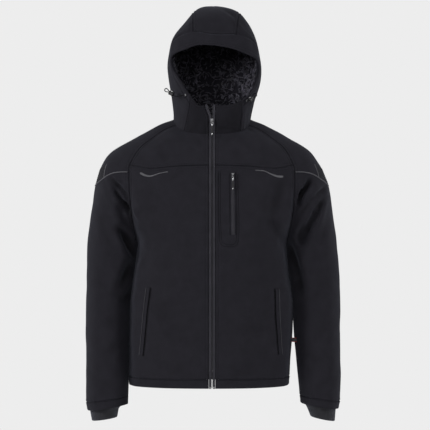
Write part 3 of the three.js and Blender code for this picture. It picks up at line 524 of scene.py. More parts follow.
def sheetGrid(name, outer, inner, uv=None, roundWay=False, flip=False):
    # a closed cloth sheet from two grids of points; the inner faces take the second material
    rows, cols = outer.shape[:2]
    n = rows * cols
    ids = np.arange(n).reshape(rows, cols)
    c1 = np.roll(ids, -1, 1) if roundWay else ids[:, 1:]
    c0 = ids if roundWay else ids[:, :-1]
    top = np.stack([c0[:-1], c0[1:], c1[1:], c1[:-1]], -1).reshape(-1, 4)
    under = np.stack([c0[:-1], c1[:-1], c1[1:], c0[1:]], -1).reshape(-1, 4) + n
    walls = [np.stack([c0[0], c1[0], c1[0] + n, c0[0] + n], -1),
             np.stack([c0[-1], c0[-1] + n, c1[-1] + n, c1[-1]], -1)]
    if not roundWay:
        walls += [np.stack([ids[:-1, 0], ids[:-1, 0] + n, ids[1:, 0] + n, ids[1:, 0]], -1),
                  np.stack([ids[:-1, -1], ids[1:, -1], ids[1:, -1] + n, ids[:-1, -1] + n], -1)]
    walls = np.vstack(walls)
    faces = np.vstack([top, under, walls])
    if flip:
        faces = faces[:, ::-1]
    verts = np.vstack([outer.reshape(-1, 3), inner.reshape(-1, 3)])
    if uv is not None:
        uv = np.vstack([uv.reshape(-1, 2)] * 2)
    obj = newPiece(name, verts, faces.tolist(), uv)
    index = np.zeros(len(faces), int)
    index[len(top):len(top) + len(under)] = 1
    obj.data.polygons.foreach_set("material_index", index)
    return obj


def tubeAlong(p, radius, sides):
    # a round strand that follows the points
    count = len(p)
    t = unit(np.gradient(p, axis=0))
    side = unit(np.cross(t[0], (0.31, 0.17, 0.93)))
    frames = []
    for i in range(count):
        side = unit(side - t[i] * (side @ t[i]))
        frames.append(side)
    frames = np.array(frames)
    other = np.cross(t, frames)
    a = np.linspace(0, 2 * math.pi, sides, endpoint=False)[None, :, None]
    ring = p[:, None] + radius * (frames[:, None] * np.cos(a) + other[:, None] * np.sin(a))
    ids = np.arange(count * sides).reshape(count, sides)
    nxt = np.roll(ids, -1, 1)
    faces = np.stack([ids[:-1], nxt[:-1], nxt[1:], ids[1:]], -1).reshape(-1, 4).tolist()
    return ring.reshape(-1, 3), faces + [ids[0][::-1].tolist(), ids[-1].tolist()]


def joined(name, parts, uv=None):
    verts, faces, at = [], [], 0
    for v, f in parts:
        verts.append(np.asarray(v, float))
        faces += [[i + at for i in face] for face in f]
        at += len(v)
    return newPiece(name, np.vstack(verts), faces, uv)


stitchLook = {
    "length": 3.4, "pitch": 4.3, "radius": 0.34, "lift": 0.14, "sides": 4, "squash": 0.8,
    "bow": (-0.25, 0.14, -0.25), "girth": (0.35, 1, 0.35),      # at the start, middle and end of a stitch
    "channel": 1.5, "channelSink": 0.3, "channelRise": 0.1,
}
threads, channels = {}, {}      # stitches, and the strips under them, darker than the cloth as painted shade of the grooves the stitches press in, gathered by region


def stitchRow(region, points, normals, pitch=None):
    # short tapered stitches that lie along a line of the cloth
    p, n = np.asarray(points, float), unit(np.asarray(normals, float))
    run = runOf(p)
    pitch = pitch or stitchLook["pitch"]
    starts = np.arange(pitch * 0.4, run[-1] - stitchLook["length"], pitch)
    if not len(starts):
        return
    across = unit(np.cross(unit(np.gradient(p, axis=0)), n))
    # the strip under a row of stitches is darker than the cloth: painted shade of the groove
    half = across * stitchLook["channel"] / 2
    sink, rise = n * stitchLook["channelSink"], n * stitchLook["channelRise"]
    strip = np.stack([p - half - sink, p - half * 0.6 + rise, p + half * 0.6 + rise, p + half - sink], 1)
    ids = np.arange(len(p) * 4).reshape(len(p), 4)
    nxt = np.roll(ids, -1, 1)
    faces = np.stack([ids[:-1], nxt[:-1], nxt[1:], ids[1:]], -1).reshape(-1, 4).tolist()
    faces += [ids[0][::-1].tolist(), ids[-1].tolist()]
    channels.setdefault(region, []).append((strip.reshape(-1, 3), faces))
    s = starts[:, None] + np.array([0, 0.5, 1])[None] * stitchLook["length"]
    centre, up = pointsAt(p, run, s), unit(pointsAt(n, run, s))
    sideways = unit(np.cross(unit(centre[:, -1] - centre[:, 0])[:, None], up))
    centre = centre + up * (np.array(stitchLook["bow"]) + stitchLook["lift"])[None, :, None]
    girth = (np.array(stitchLook["girth"]) * stitchLook["radius"])[None, :, None]
    sides = stitchLook["sides"]
    ring = np.stack([centre + girth * (sideways * math.cos(a) + up * stitchLook["squash"] * math.sin(a))
                     for a in np.arange(sides) * 2 * math.pi / sides], 2)
    ids = np.arange(len(starts) * 3 * sides).reshape(len(starts), 3, sides)
    nxt = np.roll(ids, -1, 2)
    quads = np.stack([ids[:, :-1], nxt[:, :-1], nxt[:, 1:], ids[:, 1:]], -1).reshape(-1, 4)
    threads.setdefault(region, []).append((ring.reshape(-1, 3), quads.tolist()
                                           + ids[:, 0, ::-1].tolist() + ids[:, -1].tolist()))


def startMaterial(name, rough, specular=0.4, metal=0.0, sheen=0.0, sheenRough=0.5, sheenTint=(1, 1, 1)):
    mat = bpy.data.materials.new(name)
    mat.use_nodes = True
    tree = mat.node_tree
    shader = tree.nodes["Principled BSDF"]
    shader.inputs["Roughness"].default_value = rough
    shader.inputs["Specular IOR Level"].default_value = specular
    shader.inputs["Metallic"].default_value = metal
    shader.inputs["Sheen Weight"].default_value = sheen
    shader.inputs["Sheen Roughness"].default_value = sheenRough
    shader.inputs["Sheen Tint"].default_value = (*sheenTint, 1)
    return mat, tree, shader


def addNode(tree, kind, **values):
    node = tree.nodes.new(kind)
    for key, value in values.items():
        if key in node.inputs:
            node.inputs[key].default_value = value
        else:
            setattr(node, key, value)
    return node


def coordinates(tree, source, stretch=(1, 1, 1), turn=0.0):
    where = tree.nodes.new("ShaderNodeTexCoord")
    mapping = addNode(tree, "ShaderNodeMapping")
    mapping.inputs["Scale"].default_value = stretch
    mapping.inputs["Rotation"].default_value = (0, 0, turn)
    tree.links.new(where.outputs[source], mapping.inputs["Vector"])
    return mapping.outputs["Vector"]


def toneRamp(tree, value, dark, light, low=0.3, high=0.7):
    ramp = tree.nodes.new("ShaderNodeValToRGB")
    ramp.color_ramp.elements[0].position, ramp.color_ramp.elements[0].color = low, (*dark, 1)
    ramp.color_ramp.elements[1].position, ramp.color_ramp.elements[1].color = high, (*light, 1)
    tree.links.new(value, ramp.inputs["Fac"])
    return ramp.outputs["Color"]


def addBump(tree, shader, value, strength, distance, under=None):
    bump = addNode(tree, "ShaderNodeBump", Strength=strength, Distance=distance)
    tree.links.new(value, bump.inputs["Height"])
    if under is not None:
        tree.links.new(under, bump.inputs["Normal"])
    tree.links.new(bump.outputs["Normal"], shader.inputs["Normal"])
    return bump.outputs["Normal"]


def mathNode(tree, operation, a, b=None, value=0.5):
    node = addNode(tree, "ShaderNodeMath", operation=operation)
    tree.links.new(a, node.inputs[0])
    if b is not None:
        tree.links.new(b, node.inputs[1])
    else:
        node.inputs[1].default_value = value
    return node.outputs[0]


clothGrain = {
    "slow": 38.0, "speck": 900.0, "speckShare": 0.45, "crush": 110.0, "crushDeep": 0.0012,
    "bias": 0.785, "waves": 3.0 / 6.2832,      # the weave runs both ways at this angle
}


def clothMaterial(name, dark, light, rough=0.86, threadMm=0.55, weave=0.35, crumple=0.25, sheen=0.25,
                  tint=(0.75, 0.8, 1.0), specular=0.25, fold=0.0):
    # fine two-way weave on the cloth's own UV, in metres, over a slow mottling
    mat, tree, shader = startMaterial(name, rough, specular, sheen=sheen, sheenRough=0.45, sheenTint=tint)
    place = coordinates(tree, "Object")
    slow = addNode(tree, "ShaderNodeTexNoise", Scale=clothGrain["slow"], Detail=4.0, Roughness=0.6)
    tree.links.new(place, slow.inputs["Vector"])
    speck = addNode(tree, "ShaderNodeTexNoise", Scale=clothGrain["speck"], Detail=2.0, Roughness=0.7)
    tree.links.new(place, speck.inputs["Vector"])
    mixed = mathNode(tree, "MULTIPLY_ADD", speck.outputs["Fac"], value=clothGrain["speckShare"])
    mixed.node.inputs[2].default_value = 0.0
    tree.links.new(slow.outputs["Fac"], mixed.node.inputs[2])
    tone = toneRamp(tree, mixed, dark, light, 0.5, 0.95)
    if fold:   # painted shade: the base colour is darkened where the cloth lies deep in a crease and where panels press together
        depth = addNode(tree, "ShaderNodeAttribute")
        depth.attribute_name = "fold"
        kept = mathNode(tree, "MULTIPLY_ADD", depth.outputs["Fac"], value=-fold)
        kept.node.inputs[2].default_value = 1.0
        scaled = addNode(tree, "ShaderNodeVectorMath")
        scaled.operation = "SCALE"
        tree.links.new(tone, scaled.inputs[0])
        tree.links.new(kept, scaled.inputs["Scale"])
        tone = scaled.outputs["Vector"]
    tree.links.new(tone, shader.inputs["Base Color"])
    ways = []
    for turn in (clothGrain["bias"], -clothGrain["bias"]):
        scale = 1000 / threadMm * clothGrain["waves"]
        wave = addNode(tree, "ShaderNodeTexWave", Scale=scale, Distortion=0.6, Detail=1.0)
        tree.links.new(coordinates(tree, "UV", turn=turn), wave.inputs["Vector"])
        ways.append(wave.outputs["Fac"])
    weaveHeight = mathNode(tree, "MULTIPLY", ways[0], ways[1])
    normal = addBump(tree, shader, weaveHeight, weave, threadMm / 3000)
    crush = addNode(tree, "ShaderNodeTexNoise", Scale=clothGrain["crush"], Detail=3.0, Roughness=0.55)
    tree.links.new(place, crush.inputs["Vector"])
    addBump(tree, shader, crush.outputs["Fac"], crumple, clothGrain["crushDeep"], normal)
    return mat


def plainMaterial(name, dark, light, rough, scale=300.0, bump=0.1, metal=0.0, specular=0.5, sheen=0.0):
    mat, tree, shader = startMaterial(name, rough, specular, metal, sheen)
    place = coordinates(tree, "Object")
    grain = addNode(tree, "ShaderNodeTexNoise", Scale=scale, Detail=3.0, Roughness=0.6)
    tree.links.new(place, grain.inputs["Vector"])
    tree.links.new(toneRamp(tree, grain.outputs["Fac"], dark, light), shader.inputs["Base Color"])
    addBump(tree, shader, grain.outputs["Fac"], bump, 0.0004)
    return mat


clothFinishes = {
    "shell": dict(dark=(0.0086, 0.0081, 0.0112), light=(0.0118, 0.0112, 0.0152), sheen=0.06, specular=0.12,
                  fold=0.6),
    "lining": dict(dark=(0.0030, 0.0028, 0.0042), light=(0.0080, 0.0076, 0.0105), rough=0.8, sheen=0.03,
                   specular=0.06),
    "rib": dict(dark=(0.009, 0.009, 0.0105), light=(0.016, 0.016, 0.019), threadMm=0.9, weave=0.6),
    "piping": dict(dark=(0.050, 0.049, 0.055), light=(0.075, 0.074, 0.082), rough=0.5, sheen=0.1, specular=0.3),
    "pocketEdge": dict(dark=(0.022, 0.0215, 0.026), light=(0.034, 0.033, 0.039), rough=0.6, sheen=0.05,
                       specular=0.2),
    "zipTape": dict(dark=(0.018, 0.0175, 0.022), light=(0.030, 0.029, 0.036), threadMm=0.8, weave=0.6,
                    sheen=0.05, specular=0.15),
    "label": dict(dark=(0.16, 0.010, 0.008), light=(0.26, 0.016, 0.012), rough=0.7),
    "thread": dict(dark=(0.007, 0.0067, 0.0088), light=(0.013, 0.0125, 0.016), rough=0.6, sheen=0.05,
                   specular=0.15),
    "cord": dict(dark=(0.003, 0.003, 0.0036), light=(0.008, 0.008, 0.0095), threadMm=1.1, weave=0.8, sheen=0.03,
                 specular=0.1),
    "innerCloth": dict(dark=(0.012, 0.012, 0.015), light=(0.022, 0.022, 0.026), rough=0.55, crumple=0.15,
                       sheen=0.1, specular=0.4),
    # painted shade: a darker copy of the shell for the strips under the stitching
    "channel": dict(dark=(0.0045, 0.0043, 0.0058), light=(0.0065, 0.0062, 0.0082), sheen=0.0, specular=0.06),
    # painted shade: a darker copy of the shell cloth for the collar
    "collarPaintedShadeCloth": dict(dark=(0.0058, 0.0055, 0.0076), light=(0.0083, 0.0078, 0.0106), sheen=0.04, specular=0.1,
                        fold=0.6),
    # painted shadow: near-black for the strips in the pocket slits
    "pocketSlitPaintedShadow": dict(dark=(0.0010, 0.0010, 0.0013), light=(0.0022, 0.0022, 0.0026), sheen=0.0, specular=0.05),
    "labelGrey": dict(dark=(0.03, 0.03, 0.033), light=(0.05, 0.05, 0.053), threadMm=0.4, sheen=0.05),
}
plainFinishes = {
    "plastic": dict(dark=(0.008, 0.008, 0.009), light=(0.014, 0.014, 0.016), rough=0.38, scale=500.0, bump=0.08),
    "metal": dict(dark=(0.20, 0.20, 0.21), light=(0.33, 0.33, 0.34), rough=0.34, scale=700.0, bump=0.06,
                  metal=1.0),
    "darkMetal": dict(dark=(0.05, 0.05, 0.053), light=(0.11, 0.11, 0.115), rough=0.36, scale=700.0, bump=0.06,
                      metal=1.0),
    "teeth": dict(dark=(0.017, 0.0165, 0.021), light=(0.028, 0.027, 0.033), rough=0.45, scale=900.0, bump=0.05,
                  specular=0.3),
    "rubber": dict(dark=(0.005, 0.005, 0.006), light=(0.010, 0.010, 0.012), rough=0.5, scale=800.0, bump=0.1,
                   specular=0.3),
    # the tufts are darker and lighter at random; the light end is partly their own tone and partly a painted sheen
    # of shiny fibres
    "pile": dict(dark=(0.0050, 0.0048, 0.0068), light=(0.068, 0.065, 0.086), rough=0.6, scale=60.0, bump=0.2,
                 specular=0.2, sheen=0.05),
    "floor": dict(dark=(0.80, 0.80, 0.80), light=(0.84, 0.84, 0.84), rough=0.9, scale=3.0, bump=0.02,
                  specular=0.2),
}
mats = {key: clothMaterial(key, **values) for key, values in clothFinishes.items()}
mats.update({key: plainMaterial(key, **values) for key, values in plainFinishes.items()})
print("finishes ready")


def clearSelection():
    for o in bpy.context.selected_objects:
        o.select_set(False)


def pickOnly(obj):
    clearSelection()
    obj.select_set(True)
    bpy.context.view_layer.objects.active = obj


def placed(name):
    obj = bpy.context.active_object
    obj.name = obj.data.name = name
    bpy.ops.object.transform_apply(location=True, rotation=True, scale=True)
    return obj


def metres(values):
    return [value / 1000 for value in values]


facing = {"X": (0, math.pi / 2, 0), "Y": (math.pi / 2, 0, 0), "Z": (0, 0, 0)}


def addBlock(name, sides, centre):
    clearSelection()
    bpy.ops.mesh.primitive_cube_add(size=1, location=metres(centre), scale=metres(sides))
    return placed(name)


def addRod(name, radius, long, centre, axis="Z", corners=36):
    clearSelection()
    bpy.ops.mesh.primitive_cylinder_add(vertices=corners, radius=radius / 1000, depth=long / 1000,
                                        location=metres(centre), rotation=facing[axis])
    return placed(name)


def addRing(name, major, minor, centre, axis="Z", turns=(36, 12)):
    clearSelection()
    bpy.ops.mesh.primitive_torus_add(major_radius=major / 1000, minor_radius=minor / 1000,
                                     major_segments=turns[0], minor_segments=turns[1],
                                     location=metres(centre), rotation=facing[axis])
    return placed(name)


def onFaces(obj, test, *moves):
    # runs edit mode operators on the faces that pass a test of their centre, in mm, and normal
    pickOnly(obj)
    bpy.ops.object.mode_set(mode="EDIT")
    bpy.ops.mesh.select_mode(type="FACE")
    bpy.ops.mesh.select_all(action="DESELECT")
    mesh = bmesh.from_edit_mesh(obj.data)
    for f in mesh.faces:
        if test(f.calc_center_median() * 1000, f.normal):
            f.select_set(True)
    bmesh.update_edit_mesh(obj.data)
    for move, values in moves:
        move(**values)
    bpy.ops.object.mode_set(mode="OBJECT")


def roundEdges(obj, wide, segments=3, angle=35):
    pickOnly(obj)
    bevel = obj.modifiers.new("bevel", "BEVEL")
    bevel.width, bevel.segments, bevel.limit_method = wide / 1000, segments, "ANGLE"
    bevel.angle_limit = math.radians(angle)
    bpy.ops.object.modifier_apply(modifier=bevel.name)
    return obj


def joinPieces(name, pieceList):
    pickOnly(pieceList[0])
    for o in pieceList[1:]:
        o.select_set(True)
    bpy.ops.object.join()
    obj = bpy.context.active_object
    obj.name = obj.data.name = name
    return obj


def turnTo(obj, toward, centre):
    pickOnly(obj)
    obj.rotation_euler = Vector(toward).to_track_quat("Z", "Y").to_euler()
    obj.location = metres(centre)
    bpy.ops.object.transform_apply(location=True, rotation=True, scale=True)
    return obj


def smoothLine(points, count):
    # even points on the centripetal curve through these points
    p = [np.asarray(q, float) for q in points]
    p = [2 * p[0] - p[1]] + p + [2 * p[-1] - p[-2]]
    t = np.linspace(0, 1, 40, endpoint=False)[:, None]
    out = []
    for a, b, c, d in zip(p, p[1:], p[2:], p[3:]):
        k0, k1, k2 = [max(float(np.linalg.norm(y - x)), 1e-9) ** 0.5 for x, y in ((a, b), (b, c), (c, d))]
        m1 = ((b - a) / k0 - (c - a) / (k0 + k1) + (c - b) / k1) * k1
        m2 = ((c - b) / k1 - (d - b) / (k1 + k2) + (d - c) / k2) * k1
        out.append(hermite(b, m1, c, m2, 1.0, t))
    line = np.vstack(out + [p[-2][None]])
    run = runOf(line)
    return pointsAt(line, run, np.linspace(0, run[-1], count))


# hood cords: out of an eyelet, through a lock, round a short loop and back into the lock
hoodCord = {
    "radius": 1.3, "lead": 6, "points": 90, "sides": 14,
    "right": {"eyelet": (0.30, 0.86), "lock": (-112, -72, 83), "toward": (-0.8, 0.27, 0.53)},
    "left": {"eyelet": (0.29, 0.86), "lock": (106.5, -86, 66), "toward": (0.66, 0.35, 0.66)},
    "loop": [(-13, 1.45), (-8, 1.45), (0, 1.45), (9, 1.5), (16, 4), (21, 3.4), (22.5, 0), (21, -3.4), (16, -4),
             (9, -1.5), (0, -1.45), (-4, -1.45)],
    "start": 0.45,        # the cord starts this far out of the cloth
    "barrel": {"radius": 6.8, "long": 12, "rim": 3.0, "band": 2.4, "groove": 0.7},
    "button": {"radius": 3.6, "high": 3.2, "out": 5.6}, "edge": 0.7,
    "eyeletRing": {"major": 2.7, "minor": 0.75, "out": 0.5},
}


def buildCords():
    for side, which in sideName.items():
        way = hoodCord[which]
        u, v = (np.array([value]) for value in way["eyelet"])
        eye, out = hoodPoint(side, u, v)[0], hoodNormal(side, u, v)[0]
        a = unit(np.array(way["toward"], float))
        b = unit(np.cross(a, (0, 1, 0)))
        route = [eye + out * hoodCord["start"], eye + out * hoodCord["lead"]]
        route += [np.array(way["lock"]) + a * s + b * t for s, t in hoodCord["loop"]]
        line = smoothLine(route, hoodCord["points"])
        run = runOf(line)
        verts, faces = tubeAlong(line, hoodCord["radius"], hoodCord["sides"])
        around = np.tile(np.arange(hoodCord["sides"]) / hoodCord["sides"] * 8.2, len(line))
        uv = np.stack([around, np.repeat(run, hoodCord["sides"])], -1)
        cord = newPiece("hood_drawcord_" + which, verts, faces, uv)
        finishPiece(cord, mats["cord"], ["hood_cord_" + which])
        barrel = hoodCord["barrel"]
        lock = addRod("cord_stop_" + which, barrel["radius"], barrel["long"], (0, 0, 0))
        onFaces(lock, lambda c, n: abs(n.z) > 0.9, (bpy.ops.mesh.inset, {"thickness": barrel["rim"] / 1000}),
                (bpy.ops.mesh.bridge_edge_loops, {}))
        onFaces(lock, lambda c, n: abs(n.z) < 0.1 and c.length > 4.5,
                (bpy.ops.mesh.inset, {"thickness": barrel["band"] / 1000}),
                (bpy.ops.mesh.extrude_region_shrink_fatten,
                 {"TRANSFORM_OT_shrink_fatten": {"value": -barrel["groove"] / 1000}}))
        press = hoodCord["button"]
        button = addRod("cord_button_" + which, press["radius"], press["high"], (0, press["out"], 0), "Y", 24)
        for part in (lock, button):
            roundEdges(part, hoodCord["edge"])
        for part in (lock, button):
            turnTo(part, way["toward"], way["lock"])
        finishPiece(lock, mats["plastic"], ["cord_lock_" + which], angle=40)
        finishPiece(button, mats["metal"], angle=40)
        ring = hoodCord["eyeletRing"]
        eyelet = addRing("cord_eyelet_" + which, ring["major"], ring["minor"], (0, 0, 0))
        turnTo(eyelet, out, eye + out * ring["out"])
        finishPiece(eyelet, mats["metal"], angle=50)
    print("cords ready")


creases = [   # x0, z0, x1, z1, width, depth in mm; seen from the front (-1) or the back (1)
    (-278, -149, -229, -205, 5.5, 8.7, -1), (-278, -162, -254, -202, 5.5, 6.8, -1),
    (-263, -190, -224, -243, 6, 8.7, -1), (-235, -224, -213, -271, 6.5, 8.4, -1),
    (-258, -288, -221, -336, 9, 9.5, -1), (-241, -316, -212, -372, 9, 10.4, -1),
    (-227, -389, -246, -442, 11, 8.7, -1), (-221, -456, -244, -492, 10, 6.1, -1),
    (-310, -246, -284, -340, 9, 1.6, -1), (268, -159, 243, -201, 6, 11.4, -1),
    (247, -182, 238, -224, 6, 8.7, -1), (319, -173, 274, -210, 5.5, 5.7, -1),
    (274, -210, 244, -249, 6, 6.5, -1), (313, -204, 280, -244, 6, 6.1, -1),
    (280, -244, 261, -294, 6, 6.8, -1), (302, -224, 280, -274, 7, 4.9, -1),
    (280, -274, 243, -330, 7, 7.2, -1), (260, -271, 235, -322, 8, 8, -1),
    (216, -344, 235, -406, 10, 11.4, -1), (238, -411, 246, -462, 11, 7.6, -1),
    (322, -250, 300, -330, 9, 1.6, -1), (196, -148, 160, -262, 15, 3, -1),
    (159, -280, 210, -336, 12, 3.2, -1), (206, -300, 186, -350, 9, 2, -1),
    (-300, -520, -262, -560, 14, 1.3, -1), (-330, -420, -276, -470, 12, 1.5, -1),
    (-246, -600, -292, -640, 13, 1.3, -1), (-334, -690, -282, -722, 11, 1.3, -1),
    (330, -430, 270, -486, 13, 1.5, -1), (338, -540, 286, -590, 14, 1.3, -1),
    (252, -620, 300, -664, 13, 1.3, -1), (340, -700, 290, -730, 11, 1.3, -1),
    (-206, -262, -176, -318, 12, 1.8, -1), (-212, -330, -182, -372, 11, 1.4, -1),
    (150, -520, 96, -600, 26, 1.4, -1), (-150, -480, -90, -590, 28, 1.3, -1),
    (118, -640, 60, -705, 20, 1.3, -1), (-120, -650, -52, -706, 20, 1.3, -1),
    (-150, -60, -120, -116, 13, 1.6, -1), (150, -60, 128, -120, 12, 1.8, -1),
    (176, -78, 140, -130, 13, 1.5, -1), (-58, -36, -20, -60, 10, 1.3, -1), (60, -34, 24, -56, 9, 1.5, -1),
    (25, -15, 84, -18, 4.5, 2.4, -1), (40, -3, 84, -8, 5, 1.5, -1), (92, -2, 108, -22, 5, 2.2, -1),
    (-78, 30, -60, -2, 8, 1.3, -1), (-46, 14, -18, -6, 8, 1.3, -1), (60, 42, 66, 4, 7, 1.3, -1),
    (31, 320, 62, 298, 6, 3.6, -1), (62, 298, 98, 264, 7, 4.0, -1), (-66, 292, -84, 262, 8, 1.6, -1),
    (-104, 232, -112, 196, 8, 1.5, -1), (112, 236, 120, 196, 8, 1.6, -1),
    (-40, 262, 30, 258, 12, 1.2, -1), (-290, -170, -248, -250, 11, 3.0, 1),
    (-256, -250, -224, -330, 12, 3.4, 1), (-320, -250, -262, -330, 12, 2.2, 1),
    (-330, -400, -250, -446, 14, 2.4, 1), (-336, -450, -262, -490, 14, 2.0, 1),
    (-330, -620, -262, -650, 15, 1.5, 1), (290, -170, 248, -250, 11, 3.0, 1),
    (256, -250, 224, -330, 12, 3.4, 1), (322, -250, 262, -330, 12, 2.2, 1),
    (336, -405, 250, -450, 14, 2.4, 1), (340, -456, 262, -500, 14, 2.0, 1),
    (334, -630, 268, -660, 15, 1.5, 1), (-200, -280, -120, -350, 22, 2.0, 1),
    (200, -280, 120, -350, 22, 2.0, 1), (-150, -560, -20, -610, 34, 1.6, 1),
    (160, -600, 30, -650, 34, 1.6, 1), (-60, -150, 60, -158, 26, 1.2, 1),
    (-170, -660, -90, -690, 22, 1.4, 1),
]
waves = [(0.031, 0.017, 0.023, 0.6, 0.55), (0.052, -0.021, 0.037, 2.1, 0.4), (-0.043, 0.035, 0.061, 4.0, 0.28),
         (0.094, 0.040, -0.080, 1.3, 0.16), (-0.071, 0.082, 0.112, 5.2, 0.13)]   # slow unevenness of padded cloth
puckers = {"pitch": 15.0, "reach": 11.0, "depth": 0.55}
foldShade = {"full": 8.0, "pressed": 0.9}      # painted shade: crease depth in mm where the painted shade is darkest, and the share of painted shade where two panels press together


def unevenness(p):
    return sum(a * np.sin(p[..., 0] * kx + p[..., 1] * ky + p[..., 2] * kz + phase)
               for kx, ky, kz, phase, a in waves)


def creaseDepth(p, n):
    depth = 0
    for x0, z0, x1, z1, wide, deep, face in creases:
        d, t = lineDistance(p[..., 0], p[..., 2], x0, z0, x1, z1)
        facing = smooth(0.15, 0.6, n[..., 1] * face)
        swell = np.sin(np.pi * np.clip(0.06 + 0.88 * t, 0, 1)) ** 0.6
        depth = depth + facing * swell * deep * (bell(d / wide, 1) - 0.4 * bell(d / wide - 2, 0.9))
    return -depth


seamShape = {   # swells beside a seam: height, distance from the seam and width, in mm
    "turn": (-1.5, 0, 1.5), "plain": [(0.25, 4, 3)],
    "stitched": [(0.45, 5, 2), (-0.85, 8, 1.2), (-0.45, 2.2, 0.9)],
}


def seamRoll(d, stitched):
    # a panel's edge turns in at the seam; a stitched edge has two rows of topstitching beside it
    swells = [seamShape["turn"]] + seamShape["stitched" if stitched else "plain"]
    return sum(high * bell(d - at, wide) for high, at, wide in swells)


def puckerDepth(along, d):
    wobble = np.sin(along / puckers["pitch"] * 2 * np.pi + 1.7 * np.sin(along / 41.0))
    return puckers["depth"] * wobble * bell(d, puckers["reach"])


panelTable = {   # surface, levels, seams with topstitching (start, end, top, bottom), puckered edge
    "yoke": ("front", 0, 4, (True, True, None, True), ""),
    "front": ("front", 4, 13, (True, True, True, False), "b"),
    "hem": ("front", 13, 14, (False, False, False, False), "t"),
    "shoulder": ("sleeve", 0, 5, (True, True, None, False), ""),
    "sleeve": ("sleeve", 5, 14, (True, True, False, False), "b"),
    "sleeve_hem": ("sleeve", 14, 15, (False, False, False, False), "t"),
}
backTable = {
    "yoke_back": (0, 4, (True, True, None, True), ""),
    "back_panel": (4, 13, (True, True, True, False), "b"),
    "hem_back": (13, 14, (False, False, False, False), "t"),
}
clothStep = 5.0          # mm between the rows and columns of the cloth
pieces = {}
measured = {}


def declareCut(name):
    w, h, area = measured[name]
    area = min(area, w * h)


sideFit = {
    "reach": 26.0, "swell": 1.7, "flatten": 0.85,
    "loose": {"right": 16.0, "left": 10.9},       # level from which a gap opens
}


def sideTouch(side, d, v):
    # how far the cloth swells out beside the armhole seam, where sleeve and body lie against each other
    loose = sideFit["loose"][sideName[side]]
    below = smooth(7.6, 8.3, v) * (1 - smooth(loose, loose + 1.2, v))
    return sideFit["swell"] * bell(d, sideFit["reach"]) * below


def dressSheet(name, p, n, fromStart, fromEnd, fromTop, fromBottom, stitched, puckered, flip, roundWay=False,
               thick=None, touch=0):
    thick = thick or jacketShape["wall"]
    lift = unevenness(p) + creaseDepth(p, n)
    lower = 4 if stitched[2] is not None else 0      # at the neckline the edge stays exactly in place
    fromEdge = np.minimum(np.minimum(fromStart, fromEnd), np.minimum(fromTop + lower, fromBottom + 4))
    inside = smooth(0, 16, fromEdge)
    lift = lift * inside
    for d, s in zip((fromStart, fromEnd, fromTop, fromBottom), stitched):
        if s is not None:
            lift = lift + seamRoll(d, s)
    if "b" in puckered:
        lift = lift + puckerDepth(fromStart, fromBottom)
    if "t" in puckered:
        lift = lift + puckerDepth(fromStart, fromTop)
    pressed = np.clip(touch / sideFit["swell"], 0, 1)
    lift = lift * (1 - sideFit["flatten"] * pressed) + touch
    outer = p + n * lift[..., None]
    gap = jacketShape["gap"]
    pulled = outer.copy()
    for edge, inner in (((0, slice(None)), (1, slice(None))), ((-1, slice(None)), (-2, slice(None))),
                        ((slice(None), 0), (slice(None), 1)), ((slice(None), -1), (slice(None), -2))):
        if roundWay and edge[0] == slice(None):
            continue
        atNeck = edge[0] == 0 and stitched[2] is None     # the collar and the yokes meet with no slit
        pulled[edge] += unit(p[inner] - p[edge]) * (jacketShape["neckLap"] if atNeck else gap)
    innerSide = p + n * (np.minimum(lift, jacketShape["innerLift"]) - thick)[..., None]
    for edge in ((0, slice(None)), (-1, slice(None)), (slice(None), 0), (slice(None), -1)):
        innerSide[edge] += pulled[edge] - outer[edge]
    uv = np.stack([fromStart, fromTop], -1)
    obj = sheetGrid(name + "_cloth", pulled, innerSide, uv, roundWay, flip)
    pieces[name] = obj
    # painted shade: an attribute that darkens the base colour deep in creases and where sleeve and body press
    # together
    folded = np.clip(-creaseDepth(p, n) / foldShade["full"], 0, 1) + foldShade["pressed"] * pressed
    layer = obj.data.attributes.new("fold", "FLOAT", "POINT")
    layer.data.foreach_set("value", np.tile(np.clip(folded, 0, 1).ravel(), 2))
    across, down = size(np.diff(p, axis=1)).sum(1), size(np.diff(p, axis=0)).sum(0)
    measured[name] = (round(across.max() / 1000, 3), round(down.max() / 1000, 3), round(areaOf(p), 4))
    return pulled


def stitchEdge(region, outer, n, fromEdge, axis, rowsAt=(2.0, 8.0), trim=1):
    # topstitching along the columns or rows of a panel that lie at these distances from an edge
    for want in rowsAt:
        if axis == "columns":
            j = int(np.argmin(np.abs(np.median(fromEdge, 0) - want)))
            line, normal = outer[trim:-trim, j], n[trim:-trim, j]
        else:
            i = int(np.argmin(np.abs(np.median(fromEdge, 1) - want)))
            line, normal = outer[i, trim:-trim], n[i, trim:-trim]
        stitchRow(region, line, normal)


def stitchSeams(region, outer, n, distances, stitched):
    for seam, dist, axis in zip(stitched, distances, ("columns", "columns", "rows", "rows")):
        if seam:
            stitchEdge(region, outer, n, dist, axis)


def panelGrid(side, panel, v0, v1):
    place = lambda u, v: cloth(side, panel, u, v)
    middle = {"front": 2, "sleeve": 3, "back": 2}[panel]
    ruled = (lambda u, v: cloth(-1, panel, u, v)) if panel == "back" else place   # both halves share their rows
    rows, fromTop, fromBottom = rowsByLength(ruled, middle, v0, v1, clothStep)
    start = zipU(side, jacketShape["zipHalf"], rows) if panel == "front" else 0.0
    u, fromStart, fromEnd = columnsByLength(place, rows, start, float(lastStation[panel]), clothStep,
                                            (panel != "back", True))
    v = rows[:, None] + 0 * u
    return u, v, fromStart, fromEnd, fromTop[:, None] + 0 * u, fromBottom[:, None] + 0 * u


